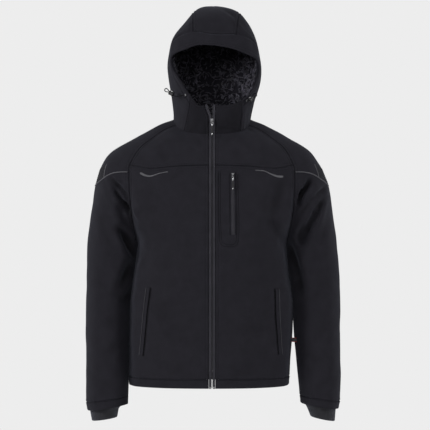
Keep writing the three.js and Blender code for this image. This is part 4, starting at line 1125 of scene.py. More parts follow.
def buildHalfPanels():
    for side, which in sideName.items():
        for part, (panel, v0, v1, stitched, puckered) in panelTable.items():
            name = part + "_" + which
            u, v, a, b, t, d = panelGrid(side, panel, v0, v1)
            p, n = cloth(side, panel, u, v), seamNormal(side, panel, u, v)
            near = np.minimum(a, b) if panel == "sleeve" else b
            close = sideTouch(side, near, v)
            outer = dressSheet(name, p, n, a, b, t, d, stitched, puckered, side < 0, touch=close)
            region = "stitching_" + ("sleeve_" if panel == "sleeve" else "front_") + which
            stitchSeams(region, outer, n, (a, b, t, d), stitched)
            if part in ("hem", "sleeve_hem"):
                stitchEdge(region, outer, n, t, "rows", (3.0,))
            finishPiece(pieces[name], [mats["shell"], mats["innerCloth"]], [name], angle=60)
            declareCut(name)
    print("fronts, yokes and sleeves ready")


def bothHalves(right, left):
    # joins two halves at the centre back; entries 2 and 3 are the distances from the start and the end
    rightWide, leftWide = right[2] + right[3], left[2] + left[3]
    grid = []
    for k, (a, b) in enumerate(zip(right, left)):
        b = b[:, ::-1]
        if k == 2:
            b = rightWide[:, -1:] + left[3][:, ::-1]
        if k == 3:
            a, b = right[3] + leftWide[:, -1:], left[2][:, ::-1]
        grid.append(np.concatenate([a, b[:, 1:]], 1))
    return grid


def buildBack():
    for name, (v0, v1, stitched, puckered) in backTable.items():
        halves = []
        for side in (-1, 1):
            u, v, a, b, t, d = panelGrid(side, "back", v0, v1)
            p, n = cloth(side, "back", u, v), seamNormal(side, "back", u, v)
            halves.append([p, n, a, b, t, d, sideTouch(side, a, v)])
        p, n, a, b, t, d, close = bothHalves(*halves)
        outer = dressSheet(name, p, n, a, b, t, d, stitched, puckered, True, touch=close)
        stitchSeams("stitching_back", outer, n, (a, b, t, d), stitched)
        if name == "hem_back":
            stitchEdge("stitching_back", outer, n, t, "rows", (3.0,))
        finishPiece(pieces[name], [mats["shell"], mats["innerCloth"]], [name], angle=60)
        declareCut(name)
    print("back ready")


hoodLook = {"flapLift": {-1: 0.5, 1: 2.3}, "brimRows": (4.0, 14.0), "step": 5.0}


def hoodLevel(u, r):
    # r runs from the neckline (0) to the brim seam (1), and in the brim on to the rim (2)
    return np.where(r <= 1, r * brimStart(u), brimStart(u) + (r - 1) * (1 - brimStart(u)))


def hoodGridOf(side, u0, u1, r0, r1, step, close=(True, True)):
    place = lambda u, r: hoodPoint(side, u, hoodLevel(u, r))
    ruled = (lambda u, r: hoodPoint(-1, u, hoodLevel(u, r))) if u1 == 1.0 else place
    rows, top, bottom = rowsByLength(ruled, (u0 + u1) / 2, r0, r1, step)
    u, a, b = columnsByLength(place, rows, u0, u1, step, close)
    r = rows[:, None] + 0 * u
    v = hoodLevel(u, r)
    return hoodPoint(side, u, v), hoodNormal(side, u, v), a, b, top[:, None] + 0 * u, bottom[:, None] + 0 * u


def mirrored(grid):
    # the wearer's left panels run the same way round the neck as the right ones
    p, n, a, b, t, d = [g[:, ::-1] for g in grid]
    return p, n, b, a, t, d


def buildHood():
    step, end, seam = hoodLook["step"], jacketShape["collarEnd"], jacketShape["centreSeam"]
    for side, which in sideName.items():
        for part, u0, u1, r1 in (("collar", 0.0, end, 2.0), ("hood_side", end, seam, 1.0)):
            name = part + "_" + which
            grid = hoodGridOf(side, u0, u1, 0.0, r1, step)
            if side > 0:
                grid = mirrored(grid)
            p, n, a, b, t, d = grid
            if part == "hood_side":    # the hood's front edge lies over the collar
                near = a if side < 0 else b
                raised = (1 - smooth(6, 30, near)) * smooth(240, 150, t) * smooth(0, 14, t)
                p = p + n * (hoodLook["flapLift"][side] * raised)[..., None]
            stitched = (True, True, None, True) if part == "hood_side" else (True, False, None, True)
            if part == "collar" and side > 0:
                stitched = (False, True, None, True)
            outer = dressSheet(name, p, n, a, b, t, d, stitched, "", False)
            stitchSeams("stitching_hood", outer, n, (a, b, t, d), stitched)
            # the collar takes the darker shell copy, which carries painted shade
            face = mats["collarPaintedShadeCloth"] if part == "collar" else mats["shell"]
            finishPiece(pieces[name], [face, mats["innerCloth"]], [name], angle=60)
            declareCut(name)
    halves = [hoodGridOf(side, seam, 1.0, 0.0, 1.0, step, (True, False)) for side in (-1, 1)]
    p, n, a, b, t, d = bothHalves(*halves)
    outer = dressSheet("hood_centre", p, n, a, b, t, d, (True, True, None, True), "", False)
    stitchSeams("stitching_hood", outer, n, (a, b, t, d), (True, True, None, True))
    finishPiece(pieces["hood_centre"], [mats["shell"], mats["innerCloth"]], ["hood_centre"], angle=60)
    declareCut("hood_centre")
    halves = [hoodGridOf(side, end, 1.0, 1.0, 2.0, step, (True, False)) for side in (-1, 1)]
    p, n, a, b, t, d = bothHalves(*halves)
    outer = dressSheet("hood_brim", p, n, a, b, t, d, (False, False, False, False), "", False)
    for want in hoodLook["brimRows"]:
        stitchEdge("stitching_hood", outer, n, d, "rows", (want,))
    finishPiece(pieces["hood_brim"], [mats["shell"], mats["innerCloth"]], ["hood_brim"], angle=60)
    declareCut("hood_brim")
    print("collar and hood ready")


def onFront(side, x, z):
    # the point of a front panel that shows at (x, z) from the front, and its normal
    low, high = np.zeros(len(x)), np.full(len(x), 14.0)
    for _ in range(halvings):
        v = (low + high) / 2
        above = cloth(side, "front", zipU(side, np.abs(x), v), v)[:, 2] > z
        low, high = np.where(above, v, low), np.where(above, high, v)
    v = (low + high) / 2
    u = zipU(side, np.abs(x), v)
    return cloth(side, "front", u, v), clothNormal(side, "front", u, v)


def frontLine(side, points, count):
    line = smoothLine([(x, 0, z) for x, z in points], count)
    p, n = onFront(side, line[:, 0], line[:, 2])
    return p + n * (unevenness(p) + creaseDepth(p, n))[:, None], n


def ribbon(name, p, n, profile, wide, high, base=-1.1):
    # a raised strip along the cloth; profile is (across, up) as shares of its width and height
    profile = np.asarray(profile, float)
    t = unit(np.gradient(p, axis=0))
    across = unit(np.cross(t, n))
    wide, high = np.broadcast_to(wide, len(p)), np.broadcast_to(high, len(p))
    up = np.where(profile[None, :, 1] < 0, base, profile[None, :, 1] * high[:, None])
    out = profile[None, :, 0] * wide[:, None]
    pts = p[:, None] + across[:, None] * out[..., None] + n[:, None] * up[..., None]
    m, count = len(profile), len(p)
    ids = np.arange(count * m).reshape(count, m)
    nxt = np.roll(ids, -1, 1)
    faces = np.stack([ids[:-1], nxt[:-1], nxt[1:], ids[1:]], -1).reshape(-1, 4).tolist()
    faces += [ids[0][::-1].tolist(), ids[-1].tolist()]
    run = runOf(p)
    around = np.concatenate([[0], np.cumsum(np.hypot(np.diff(profile[:, 0]), np.diff(profile[:, 1])))])
    uv = np.stack([np.tile(around * float(np.mean(wide)), count), np.repeat(run, m)], -1)
    return newPiece(name, pts.reshape(-1, 3), faces, uv)


roundStrip = [(-0.5, -1), (-0.5, 0.3), (-0.4, 0.72), (-0.2, 0.96), (0, 1), (0.2, 0.96), (0.4, 0.72), (0.5, 0.3),
              (0.5, -1)]
flatStrip = [(-0.5, -1), (-0.5, 0.5), (-0.44, 0.86), (-0.34, 1), (-0.1, 1.02), (0.1, 1.02), (0.34, 1),
             (0.44, 0.86), (0.5, 0.5), (0.5, -1)]
lipStrip = [(-0.5, -1), (-0.5, 0.4), (-0.42, 0.8), (-0.2, 0.95), (0.1, 1), (0.36, 1.05), (0.5, 0.9), (0.54, 0.5),
            (0.46, 0.15), (0.4, -1)]

trim = {
    "chestRight": [(-120, -134), (-142, -138), (-168, -146), (-182, -144), (-196, -137)],
    "chestLeft": [(118, -130), (142, -132), (162, -141), (180, -147), (194, -147)],
    "chestWide": (2.6, 6.2), "chestHigh": 1.7,
    "sleeveWide": 2.6, "sleeveHigh": 1.5,
    "weltRight": [(-173, -452), (-184, -545), (-193, -637)],
    "edgeRight": [(-180, -452), (-191, -545), (-200, -637)],
    "weltLeft": [(176, -455), (180, -545), (186, -634)], "edgeLeft": [(183, -455), (187, -545), (193, -634)],
    "weltWide": 7.6, "weltHigh": 2.2, "edgeWide": 2.4, "edgeHigh": 1.9, "slitFromWelt": 5.0, "slitWide": 2.6,
    "slitHigh": 0.45, "rowFromSlit": 3.2, "barFromTo": (-3.6, 8), "barPast": 1.5,
}


def buildTrim():
    for side, which in sideName.items():
        ending = which.capitalize()
        p, n = frontLine(side, trim["chest" + ending], 60)
        k = np.linspace(0, 1, 60)
        low, high = trim["chestWide"]
        wide = (low + (high - low) * smooth(0.35, 0.95, k)) * np.sqrt(np.clip((1.0 - k) / 0.03, 0.12, 1))
        obj = ribbon("chest_cord_edge_" + which, p, n, roundStrip, wide, trim["chestHigh"])
        finishPiece(obj, mats["piping"], ["chest_piping_" + which])
        u = np.linspace(0.08, 5.92, 240)
        v = np.full(240, float(jacketShape["pipeLevel"]))
        p, n = cloth(side, "sleeve", u, v), clothNormal(side, "sleeve", u, v)
        obj = ribbon("sleeve_cord_edge_" + which, p, n, roundStrip, trim["sleeveWide"], trim["sleeveHigh"], -1.6)
        finishPiece(obj, mats["piping"], ["sleeve_piping_" + which])
        p, n = frontLine(side, trim["welt" + ending], 90)
        profile = lipStrip if side > 0 else [(-a, h) for a, h in lipStrip[::-1]]
        obj = ribbon("pocket_lip_" + which, p, n, profile, trim["weltWide"], trim["weltHigh"])
        finishPiece(obj, mats["shell"], ["pocket_welt_" + which], angle=50)
        t = unit(np.gradient(p, axis=0))
        inward = -unit(np.cross(t, n)) * side
        inward = np.where((inward[:, :1] * side) > 0, -inward, inward)
        slit = p + inward * trim["slitFromWelt"]
        # a near-black strip raised on the cloth beside the welt: painted shadow of the pocket's slit
        obj = ribbon("pocket_slit_painted_shadow_" + which, slit, n, flatStrip, trim["slitWide"], trim["slitHigh"])
        finishPiece(obj, mats["pocketSlitPaintedShadow"])
        region = "stitching_front_" + which
        stitchRow(region, slit + inward * trim["rowFromSlit"] + n * 0.2, n)
        for end, past in ((0, trim["barPast"]), (-1, -trim["barPast"])):     # a short bar across each end
            bar = [p[end] + inward[end] * s + (0, 0, past) for s in np.linspace(*trim["barFromTo"], 4)]
            stitchRow(region, np.array(bar), np.repeat(n[end][None], 4, 0), 3.0)
        p, n = frontLine(side, trim["edge" + ending], 90)
        obj = ribbon("pocket_cord_edge_" + which, p, n, roundStrip, trim["edgeWide"], trim["edgeHigh"])
        finishPiece(obj, mats["pocketEdge"], ["pocket_piping_" + which])
    print("piping and pockets ready")


# shoulder tabs with raised grip pads, held by a narrow piping in front and behind
grip = {"front": 1.66, "back": 4.34, "top": 4.1, "bottom": 4.9, "pitch": 4.2, "pad": 1.35, "high": 0.9,
        "pipingWide": 2.0, "pipingHigh": 1.3, "pipingFromTo": (4.03, 4.97), "rows": 8, "margin": 0.06,
        "profile": [(1, -0.8), (1, 0.35), (0.72, 0.85), (0.3, 1)]}      # a pad's share of its radius and height


def buildGrips():
    for side, which in sideName.items():
        lines = []
        for k, u0 in enumerate((grip["front"], grip["back"])):
            v = np.linspace(*grip["pipingFromTo"], 30)
            u = np.full(30, u0)
            p, n = cloth(side, "sleeve", u, v), clothNormal(side, "sleeve", u, v)
            p = p + n * unevenness(p)[:, None]
            obj = ribbon("shoulder_edge_" + ("front_", "back_")[k] + which, p, n, roundStrip, grip["pipingWide"],
                         grip["pipingHigh"])
            finishPiece(obj, mats["piping"])
        u = np.linspace(grip["front"] + grip["margin"], grip["back"] - grip["margin"], 200)
        rows = grip["rows"]
        for r in range(rows):
            v = grip["top"] + (grip["bottom"] - grip["top"]) * (r + 0.5) / rows
            p, n = cloth(side, "sleeve", u, 0 * u + v), clothNormal(side, "sleeve", u, 0 * u + v)
            run = runOf(p)
            want = np.arange(grip["pitch"] * (0.75 if r % 2 else 0.25), run[-1], grip["pitch"])
            lines.append((pointsAt(p + n * unevenness(p)[:, None], run, want), unit(pointsAt(n, run, want))))
        centre, up = np.vstack([l[0] for l in lines]), np.vstack([l[1] for l in lines])
        across = unit(np.cross(up, (0, 0, 1.0)))
        onward = np.cross(up, across)
        rings = []
        a = np.linspace(0, 2 * math.pi, 8, endpoint=False)[None, :, None]
        circle = across[:, None] * np.cos(a) + onward[:, None] * np.sin(a)
        for share, lift in grip["profile"]:
            rings.append(centre[:, None] + up[:, None] * (lift * grip["high"]) + grip["pad"] * share * circle)
        ring = np.stack(rings, 1)
        count = len(centre)
        ids = np.arange(count * 32).reshape(count, 4, 8)
        nxt = np.roll(ids, -1, 2)
        faces = np.stack([ids[:, :-1], nxt[:, :-1], nxt[:, 1:], ids[:, 1:]], -1).reshape(-1, 4).tolist()
        faces += ids[:, 0, ::-1].tolist() + ids[:, -1].tolist()
        obj = newPiece("shoulder_grip_" + which, ring.reshape(-1, 3), faces)
        finishPiece(obj, mats["rubber"])
    print("shoulder tabs ready")


# knitted inner cuffs
knit = {"ribs": 58, "perRib": 6, "depth": 0.55, "rows": 24, "thick": 2.0, "inset": 0.35, "rolledEnd": 0.9,
        "stretch": (1.02, 1.1)}      # how much wider and longer the flat cut is


def buildCuffs():
    for side, which in sideName.items():
        count = knit["ribs"] * knit["perRib"]
        a = np.arange(count) / count * 2 * math.pi
        u = a * 3 / math.pi
        hemTop, hemEnd = [cloth(side, "sleeve", u, np.full(count, level)) for level in (14.0, 15.0)]
        top = hemTop * 0.7 + hemEnd * 0.3
        top = top - clothNormal(side, "sleeve", u, np.full(count, 14.3)) * (jacketShape["wall"] + knit["inset"])
        rings = [top] + [cuffRing(row, a) * (side, 1, 1) for row in cuffRows[which]]
        s = np.linspace(0, 2, knit["rows"])
        low, k = np.minimum(s.astype(int), 1), (s - np.minimum(s.astype(int), 1))[:, None, None]
        stack = np.stack(rings)
        p = stack[low] * (1 - k) + stack[low + 1] * k
        n = np.broadcast_to(np.stack([-side * np.cos(a), -np.sin(a), 0 * a], -1), p.shape)
        rib = knit["depth"] * (np.abs(np.cos(a * knit["ribs"] / 2)) ** 0.7 - 0.6)[None] * np.ones(len(s))[:, None]
        rib = rib - knit["rolledEnd"] * bell(s - 2, 0.06)[:, None]
        outer, inner = p + n * rib[..., None], p - n * (knit["thick"] - 0.4 * rib)[..., None]
        run = runOf(p[:, 0])
        around = np.arange(count) / count * 230
        uv = np.stack(np.broadcast_arrays(around[None], run[:, None]), -1)
        obj = sheetGrid("knit_cuff_" + which, outer, inner, uv, True, side < 0)
        finishPiece(obj, [mats["rib"], mats["rib"]], ["inner_cuff_" + which])
    print("cuffs ready")


# plush lining of the hood and collar: a soft sheet with tufts that lie in whorls
plush = {
    "thick": 3.0, "rough": 1.6, "rows": 72, "brimRows": 15, "cols": 70, "first": 0.03, "last": 1.97, "inset": 0.5,
    "waves": [((0.31, 0.12, 0.22), 0.4), ((-0.2, 0.36, 0.17), 2.0), ((0.11, -0.24, 0.41), 4.2),
              ((0.45, 0.3, -0.3), 1.2)],
    "tufts": 4800, "length": (10.0, 19.0), "girth": 1.35, "lift": 3.4, "whorls": 330, "astray": 0.3,
    "taper": (1.0, 1.25, 0.8, 0.2),       # a tuft's girth from its root to its tip
}


def buildLining():
    rows = np.concatenate([np.linspace(plush["first"], 1, plush["rows"]),
                           np.linspace(1, plush["last"], plush["brimRows"])[1:]])
    cols = np.linspace(0.1, 1, plush["cols"])
    halves = []
    for side in (-1, 1):
        u, r = np.meshgrid(cols, rows)
        v = hoodLevel(u, r)
        p, n = hoodPoint(side, u, v), hoodNormal(side, u, v)
        off = jacketShape["wall"] + plush["inset"] + 1.3 * smooth(plush["last"], 1.6, r)
        halves.append((p - n * off[..., None], n))
    (pr, nr), (pl, nl) = halves
    p, n = np.concatenate([pr, pl[:, ::-1][:, 1:]], 1), np.concatenate([nr, nl[:, ::-1][:, 1:]], 1)
    wave = sum(np.sin(p @ np.array(k) + f) for k, f in plush["waves"])
    edge = smooth(plush["last"], 1.7, rows)[:, None]
    inner = p - n * (plush["thick"] + plush["rough"] * 0.5 * wave * edge)[..., None]
    down = runOf(p[:, len(cols) - 1])
    across = np.concatenate([np.zeros((len(rows), 1)), np.cumsum(size(np.diff(p, axis=1)), 1)], 1)
    obj = sheetGrid("plush_sheet", p, inner, np.stack([across, down[:, None] + 0 * across], -1))
    finishPiece(obj, [mats["lining"], mats["lining"]], ["hood_lining"])
    random.seed(11)
    count = plush["tufts"]

    def scattered(many):
        i = np.array([random.random() ** 0.9 for _ in range(many)]) * plush["rows"]
        j = np.array([random.random() for _ in range(many)]) * (p.shape[1] - 1.001)
        a, b = i.astype(int), j.astype(int)
        spot = inner[a, b] * (1 - (j - b)[:, None]) + inner[a, b + 1] * (j - b)[:, None]
        return spot, -n[a, b]

    # every tuft lies round the nearest whorl
    base, up = scattered(count)
    middles = scattered(plush["whorls"])[0]
    gaps = base[:, None] - middles[None]
    away = gaps[np.arange(count), size(gaps).argmin(1)]
    away = unit(away - up * (away * up).sum(-1, keepdims=True))
    spin = np.array([random.gauss(0, plush["astray"]) for _ in range(count)])[:, None]
    around = np.cross(up, away)
    lean = around * np.cos(spin) + away * np.sin(spin)
    curl = unit(around * 0.5 - away * 0.85)
    long = np.array([random.uniform(*plush["length"]) for _ in range(count)])[:, None]
    spots = [base - up * 0.4, base + lean * long * 0.33 + up * plush["lift"],
             base + (lean * 0.5 + curl * 0.25) * long + up * plush["lift"] * 1.15,
             base + (lean * 0.5 + curl * 0.5) * long + up * 0.8]
    rings = []
    for spot, share in zip(spots, plush["taper"]):
        c, girth = np.cross(up, lean), plush["girth"] * share
        rings.append(np.stack([spot + c * girth, spot + up * girth * 0.9, spot - c * girth], 1))
    ring = np.stack(rings, 1)
    ids = np.arange(count * 12).reshape(count, 4, 3)
    nxt = np.roll(ids, -1, 2)
    faces = np.stack([ids[:, :-1], ids[:, 1:], nxt[:, 1:], nxt[:, :-1]], -1).reshape(-1, 4).tolist()
    faces += ids[:, 0].tolist() + ids[:, -1, ::-1].tolist()
    obj = newPiece("plush_tufts", ring.reshape(-1, 3), faces)
    finishPiece(obj, mats["pile"])
    print("lining ready")


# front zip: two woven tapes, moulded teeth, and the slider with its pull
zipLook = {
    "across": [0, 0.15, 0.35, 0.55, 0.72, 0.84, 0.9, 0.96, 1.0],
    "ridge": [0, 0.05, 0, 0.05, 0, 0.1, 0.55, 0.6, 0.1],
    "outer": 8.35, "inner": 1.9, "sink": 0.6, "thick": 1.2, "pitch": 2.6, "tooth": (2.9, 2.3, 1.05), "sliderZ": 4,
    "slider": {"y": -93.2213, "sides": (9.5, 3.4, 16), "narrow": 0.66, "ring": 2.7}, "closed": 0.75,
    "link": (7, 9, 1.4), "tab": (7.2, 28, 2.8), "rivet": (2.3, 1.0),
    "foot": {"v": 13.86, "x": 4.6, "sides": (4.2, 2.4, 5.0)},
}


def tapeGrid(side):
    v = np.linspace(14, 0, 240)
    x = zipLook["outer"] + (zipLook["inner"] - zipLook["outer"]) * np.array(zipLook["across"])
    u = np.stack([zipU(side, value, v) for value in x], 1)
    V = v[:, None] + 0 * u
    p, n = cloth(side, "front", u, V), clothNormal(side, "front", u, V)
    p = p - n * zipLook["sink"]
    w = np.linspace(0, 1, 36)[1:]
    edge = collarEdge(side, w)
    d = 1.2 + 6.0 * np.array(zipLook["across"])
    q = np.repeat(edge[:, None], len(d), 1)
    q[..., 0] -= side * d[None]
    q[..., 1] += 0.6
    m = np.zeros_like(q)
    m[..., 1] = -1
    p, n = np.vstack([p, q]), np.vstack([n, m])
    run = runOf(p[:, 4])
    return p, n, run


def copiesOf(obj, centres, flips=None):
    # many copies of one small shape in one mesh
    v = np.array([w.co[:] for w in obj.data.vertices]) * 1000
    faces = np.array([list(f.vertices) + [-1] * (8 - len(f.vertices)) for f in obj.data.polygons])
    verts = centres[:, None] + v[None] * (flips[:, None] if flips is not None else 1)
    out = []
    for k in range(len(centres)):
        turned = flips is not None and np.prod(flips[k]) < 0
        for f in faces:
            row = [int(i) + k * len(v) for i in f if i >= 0]
            out.append(row[::-1] if turned else row)
    bpy.data.objects.remove(obj)
    return verts.reshape(-1, 3), out


def frontSlider(name, centre, sides, narrow, ring):
    body = addBlock(name, sides, centre)
    low = centre[2] - sides[2] / 2 + 1
    onFaces(body, lambda c, n: n.z < -0.9, (bpy.ops.transform.resize, {
        "value": (narrow, 1, 1), "center_override": metres((centre[0], centre[1], low))}))
    onFaces(body, lambda c, n: n.y < -0.9, (bpy.ops.mesh.inset, {"thickness": 0.0011}),
            (bpy.ops.mesh.extrude_region_move, {"TRANSFORM_OT_translate": {"value": (0, -0.0005, 0)}}))
    roundEdges(body, 0.55)
    spot = (centre[0], centre[1] - sides[1] / 2 + 0.6, centre[2] + sides[2] * 0.02)
    loop = addRing(name + "Loop", ring, 0.75, spot, "X", (28, 10))
    return joinPieces(name, [body, loop])


def pullRing(name, top, wide, long, thick):
    r = wide * 0.36
    y = top[1] - thick / 2
    ring = addRing(name, r, thick * 0.5, (top[0], y, top[2] - r - thick * 0.5), "Y", (28, 10))
    bar = addBlock(name + "Bar", (wide * 0.5, thick, long), (top[0], y, top[2] - 2 * r - thick * 0.2 - long / 2))
    onFaces(bar, lambda c, n: n.z > 0.9, (bpy.ops.transform.resize, {
        "value": (1.5, 1, 1), "center_override": metres((top[0], y, top[2] - 2 * r))}))
    roundEdges(bar, thick * 0.28, 2)
    return joinPieces(name, [ring, bar])


def rubberTab(name, top, wide, long, thick, ridges):
    y = top[1] - thick / 2
    core = addBlock(name, (wide, thick, long), (top[0], y, top[2] - long / 2))
    onFaces(core, lambda c, n: n.z > 0.9, (bpy.ops.transform.resize, {
        "value": (0.66, 0.8, 1), "center_override": metres((top[0], y, top[2]))}))
    onFaces(core, lambda c, n: n.z < -0.9, (bpy.ops.transform.resize, {
        "value": (0.82, 1, 1), "center_override": metres((top[0], y, top[2] - long))}))
    onFaces(core, lambda c, n: abs(n.y) > 0.9, (bpy.ops.mesh.inset, {"thickness": 0.0011}),
            (bpy.ops.mesh.extrude_region_shrink_fatten, {"TRANSFORM_OT_shrink_fatten": {"value": -0.0004}}))
    roundEdges(core, 0.5)
    parts = [core]
    for k in range(ridges):
        z = top[2] - long * (0.3 + 0.5 * k / max(1, ridges - 1))
        bar = addRod(name + "Ridge%d" % k, 0.5, wide * 0.56, (top[0], top[1] - thick + 0.35, z), "X", 12)
        roundEdges(bar, 0.2, 2)
        parts.append(bar)
    return joinPieces(name, parts)


def buildZip():
    teeth = []
    tooth = addBlock("tooth", zipLook["tooth"], (0, 0, 0))
    onFaces(tooth, lambda c, n: n.x > 0.9, (bpy.ops.transform.resize, {
        "value": (1, 0.75, 0.6), "center_override": (0.0014, 0, 0)}))
    roundEdges(tooth, 0.22, 1)
    for side, which in sideName.items():
        p, n, run = tapeGrid(side)
        ridge = np.array(zipLook["ridge"])[None, :, None]
        outer, inner = p + n * ridge, p - n * zipLook["thick"]
        uv = np.stack(np.broadcast_arrays(np.array(zipLook["across"])[None] * 6.4, run[:, None]), -1)
        obj = sheetGrid("woven_tape_" + which, outer, inner, uv, False, side < 0)
        finishPiece(obj, [mats["zipTape"], mats["zipTape"]], ["zip_tape_" + which])
        line = p[:, -1]
        want = np.arange(3 + (zipLook["pitch"] / 2 if side > 0 else 0), run[-1] - 2, zipLook["pitch"])
        at = pointsAt(line, run, want)
        parted = at[:, 2] > zipLook["sliderZ"] + 9
        under = np.abs(at[:, 2] - zipLook["sliderZ"]) < 8.6
        closedX = side * zipLook["closed"]
        at[:, 0] = np.where(parted, at[:, 0] - side * 0.9, closedX)
        at[:, 1] += np.where(parted, 0.2, 0.9)
        at = at[~under]
        teeth.append((at, np.tile((-side, 1.0, 1.0), (len(at), 1))))
    centres, flips = np.vstack([t[0] for t in teeth]), np.vstack([t[1] for t in teeth])
    verts, faces = copiesOf(tooth, centres, flips)
    finishPiece(newPiece("zip_teeth", verts, faces), mats["teeth"], ["zip_coil"], angle=30)
    slider, z = zipLook["slider"], zipLook["sliderZ"]
    y = slider["y"]
    obj = frontSlider("front_slider", (0, y - 2.7, z), slider["sides"], slider["narrow"], slider["ring"])
    finishPiece(obj, mats["darkMetal"], ["zip_slider"], angle=40)
    obj = pullRing("front_pull_link", (0, y - 4.9, z - 2), *zipLook["link"])
    finishPiece(obj, mats["metal"], ["zip_pull"], "front_pull", 40)
    obj = rubberTab("front_pull_grip", (0, y - 6.5, z - 11), *zipLook["tab"], 6)
    finishPiece(obj, mats["rubber"], ["zip_pull_tab"], "front_pull", 40)
    rivet = addRod("front_pull_rivet", *zipLook["rivet"], (0, y - 9.6, z - 34.5), "Y", 28)
    roundEdges(rivet, 0.35)
    finishPiece(rivet, mats["metal"], (), "front_pull", 40)
    # metal stops at the foot of each tape
    for side, which in sideName.items():
        foot = zipLook["foot"]
        v = np.array([foot["v"]])
        spot = cloth(side, "front", zipU(side, foot["x"], v), v)[0]
        stop = addBlock("zip_foot_" + which, foot["sides"], spot + (0, -0.6, 0))
        onFaces(stop, lambda c, n: n.y < -0.9, (bpy.ops.mesh.inset, {"thickness": 0.0008}),
                (bpy.ops.mesh.extrude_region_move, {"TRANSFORM_OT_translate": {"value": (0, -0.0004, 0)}}))
        roundEdges(stop, 0.4)
        finishPiece(stop, mats["metal"], angle=40)
    print("front zip ready")


chestZip = {"points": [(56.3, -136), (56.3, -220), (57.3, -306)], "lipWide": 1.7, "lipHigh": 1.2, "lipOut": 5.4,
            "pitch": 2.0, "tooth": (2.4, 1.2, 0.8),
            "slider": {"x": 56.8, "y": -125.9627, "z": -144, "sides": (7, 2.9, 11), "narrow": 0.7, "ring": 2.0},
            "link": (6, 8.5, 1.4), "tab": (6, 25, 2.5), "rivet": (1.7, 0.9), "tapeWide": 9.6, "tapeHigh": 0.9,
            "pocket": [(18, -134), (17, -200), (19, -290), (24, -331), (40, -338), (64, -336), (70, -326),
                       (70, -140)]}


def buildChestZip():
    p, n = frontLine(1, chestZip["points"], 80)
    t = unit(np.gradient(p, axis=0))
    across = unit(np.cross(t, n))
    tape = ribbon("chest_zip_tape", p, n, flatStrip, chestZip["tapeWide"], chestZip["tapeHigh"])
    finishPiece(tape, mats["zipTape"], ["chest_zip"])
    for k, which in ((-1, "inner"), (1, "outer")):
        line = p + across * chestZip["lipOut"] * k
        lip = ribbon("chest_zip_lip_" + which, line, n, roundStrip, chestZip["lipWide"], chestZip["lipHigh"])
        finishPiece(lip, mats["shell"])
        stitchRow("stitching_front_left", p + across * 8.4 * k + n * 0.2, n)
    tooth = addBlock("smallTooth", chestZip["tooth"], (0, 0, 0))
    roundEdges(tooth, 0.2, 1)
    run = runOf(p)
    want = np.arange(14, run[-1] - 2, chestZip["pitch"] / 2)
    at = pointsAt(p + n * 0.95, run, want)
    at[:, 0] += np.where(np.arange(len(at)) % 2, 0.7, -0.7)
    verts, faces = copiesOf(tooth, at)
    finishPiece(newPiece("chest_zip_teeth", verts, faces), mats["teeth"], angle=30)
    slider = chestZip["slider"]
    x, y, z = slider["x"], slider["y"], slider["z"]
    obj = frontSlider("chest_slider", (x, y - 4.0, z), slider["sides"], slider["narrow"], slider["ring"])
    finishPiece(obj, mats["darkMetal"], ["chest_zip_slider"], angle=40)
    obj = pullRing("chest_pull_link", (x, y - 5.9, z - 3), *chestZip["link"])
    finishPiece(obj, mats["metal"], ["chest_zip_pull"], "chest_pull", 40)
    obj = rubberTab("chest_pull_grip", (x, y - 7.5, z - 15), *chestZip["tab"], 5)
    finishPiece(obj, mats["rubber"], ["chest_zip_pull_tab"], "chest_pull", 40)
    rivet = addRod("chest_pull_rivet", *chestZip["rivet"], (x, y - 10.2, z - 36.5), "Y", 28)
    roundEdges(rivet, 0.3)
    finishPiece(rivet, mats["metal"], (), "chest_pull", 40)
    p, n = frontLine(1, chestZip["pocket"], 200)
    stitchRow("stitching_front_left", p + n * 0.25, n)
    within = [(x + 5 if x < 45 else x - 5, z + (5 if z < -300 else 0)) for x, z in chestZip["pocket"]]
    p, n = frontLine(1, within, 200)
    stitchRow("stitching_front_left", p + n * 0.25, n)
    print("chest pocket ready")


# bare woven label, folded once and sewn into the side seam
sideLabel = {"at": (3.62, 11.3), "sides": (18, 1.0, 12), "out": (0.72, -0.69, 0), "border": 2.2, "wave": 0.7}


def buildLabel():
    spot = cloth(1, "front", *(np.array([value]) for value in sideLabel["at"]))[0]
    obj = addBlock("woven_label", sideLabel["sides"], (0, 0, 0))
    pickOnly(obj)
    bpy.ops.object.mode_set(mode="EDIT")
    bpy.ops.mesh.select_all(action="SELECT")
    bpy.ops.mesh.subdivide(number_cuts=7)
    bpy.ops.object.mode_set(mode="OBJECT")
    for vert in obj.data.vertices:   # a slight wave along the free edge
        vert.co.y += sideLabel["wave"] / 1000 * math.sin(vert.co.x * 230 + vert.co.z * 120)
    roundEdges(obj, 0.25, 2)
    obj.rotation_euler = (0, 0, math.atan2(sideLabel["out"][1], sideLabel["out"][0]))
    obj.location = metres(spot + np.array(sideLabel["out"]) * 10)
    pickOnly(obj)
    bpy.ops.object.transform_apply(location=True, rotation=True, scale=True)
    obj.data.materials.append(mats["label"])
    obj.data.materials.append(mats["labelGrey"])
    middle = spot[2] / 1000
    for f in obj.data.polygons:
        f.material_index = int(abs(f.center.z - middle) < (sideLabel["sides"][2] / 2 - sideLabel["border"]) / 1000)
    finishPiece(obj, [], ["side_label"], angle=40)
    print("label ready")


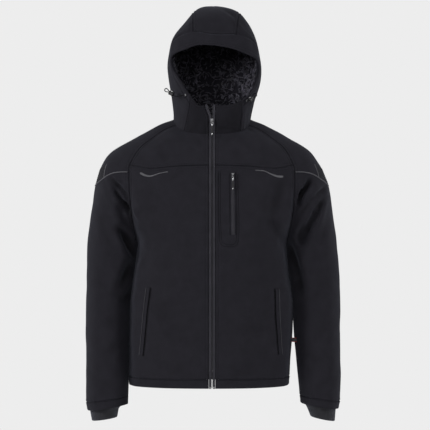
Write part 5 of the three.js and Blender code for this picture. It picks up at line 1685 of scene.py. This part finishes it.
buildCords()
buildHalfPanels()
buildBack()
buildHood()
buildTrim()
buildGrips()
buildCuffs()
buildLining()
buildZip()
buildChestZip()
buildLabel()


def buildThreads():
    for region, rows in threads.items():
        finishPiece(joined(region, rows), mats["thread"])
        finishPiece(joined(region.replace("stitching", "channels"), channels[region]), mats["channel"])
    print("stitching ready", len(threads))


buildThreads()
floorMesh = bpy.data.meshes.new("floor")
floorMesh.from_pydata([(-3, -3, -1.5), (3, -3, -1.5), (3, 3, -1.5), (-3, 3, -1.5)], [], [(0, 1, 2, 3)])
floorMesh.materials.append(mats["floor"])
floorObj = bpy.data.objects.new("floor", floorMesh)
scene.collection.objects.link(floorObj)
world = bpy.data.worlds.new("studio")
world.use_nodes = True
sky = world.node_tree.nodes["Background"]
sky.inputs["Color"].default_value = (1, 1, 1, 1)
seen = world.node_tree.nodes.new("ShaderNodeLightPath")    # a pale backdrop that lights the cloth more softly
level = world.node_tree.nodes.new("ShaderNodeMapRange")
level.inputs["To Min"].default_value = backgroundLight["ambient"]
level.inputs["To Max"].default_value = backgroundLight["seen"]
world.node_tree.links.new(seen.outputs["Is Camera Ray"], level.inputs["Value"])
world.node_tree.links.new(level.outputs["Result"], sky.inputs["Strength"])
scene.world = world


def aimed(place, toward):
    return (Vector(toward) - Vector(place)).to_track_quat("-Z", "Y").to_euler()


for name, lamp in lamps.items():
    data = bpy.data.lights.new(name, "AREA")
    data.size, data.energy = lamp["size"], lamp["watts"]
    light = bpy.data.objects.new(name, data)
    light.location = lamp["place"]
    light.rotation_euler = aimed(lamp["place"], (0, 0, -0.3))
    scene.collection.objects.link(light)

spot = bpy.data.lights.new("hoodSpot", "SPOT")     # reaches the plush on the wearer's left of the hood
spot.energy, spot.spot_size, spot.spot_blend = hoodSpot["watts"], math.radians(hoodSpot["degrees"]), 1.0
spot.shadow_soft_size = 0.05
spotObj = bpy.data.objects.new("hoodSpot", spot)
spotObj.location = hoodSpot["place"]
spotObj.rotation_euler = aimed(hoodSpot["place"], hoodSpot["toward"])
scene.collection.objects.link(spotObj)
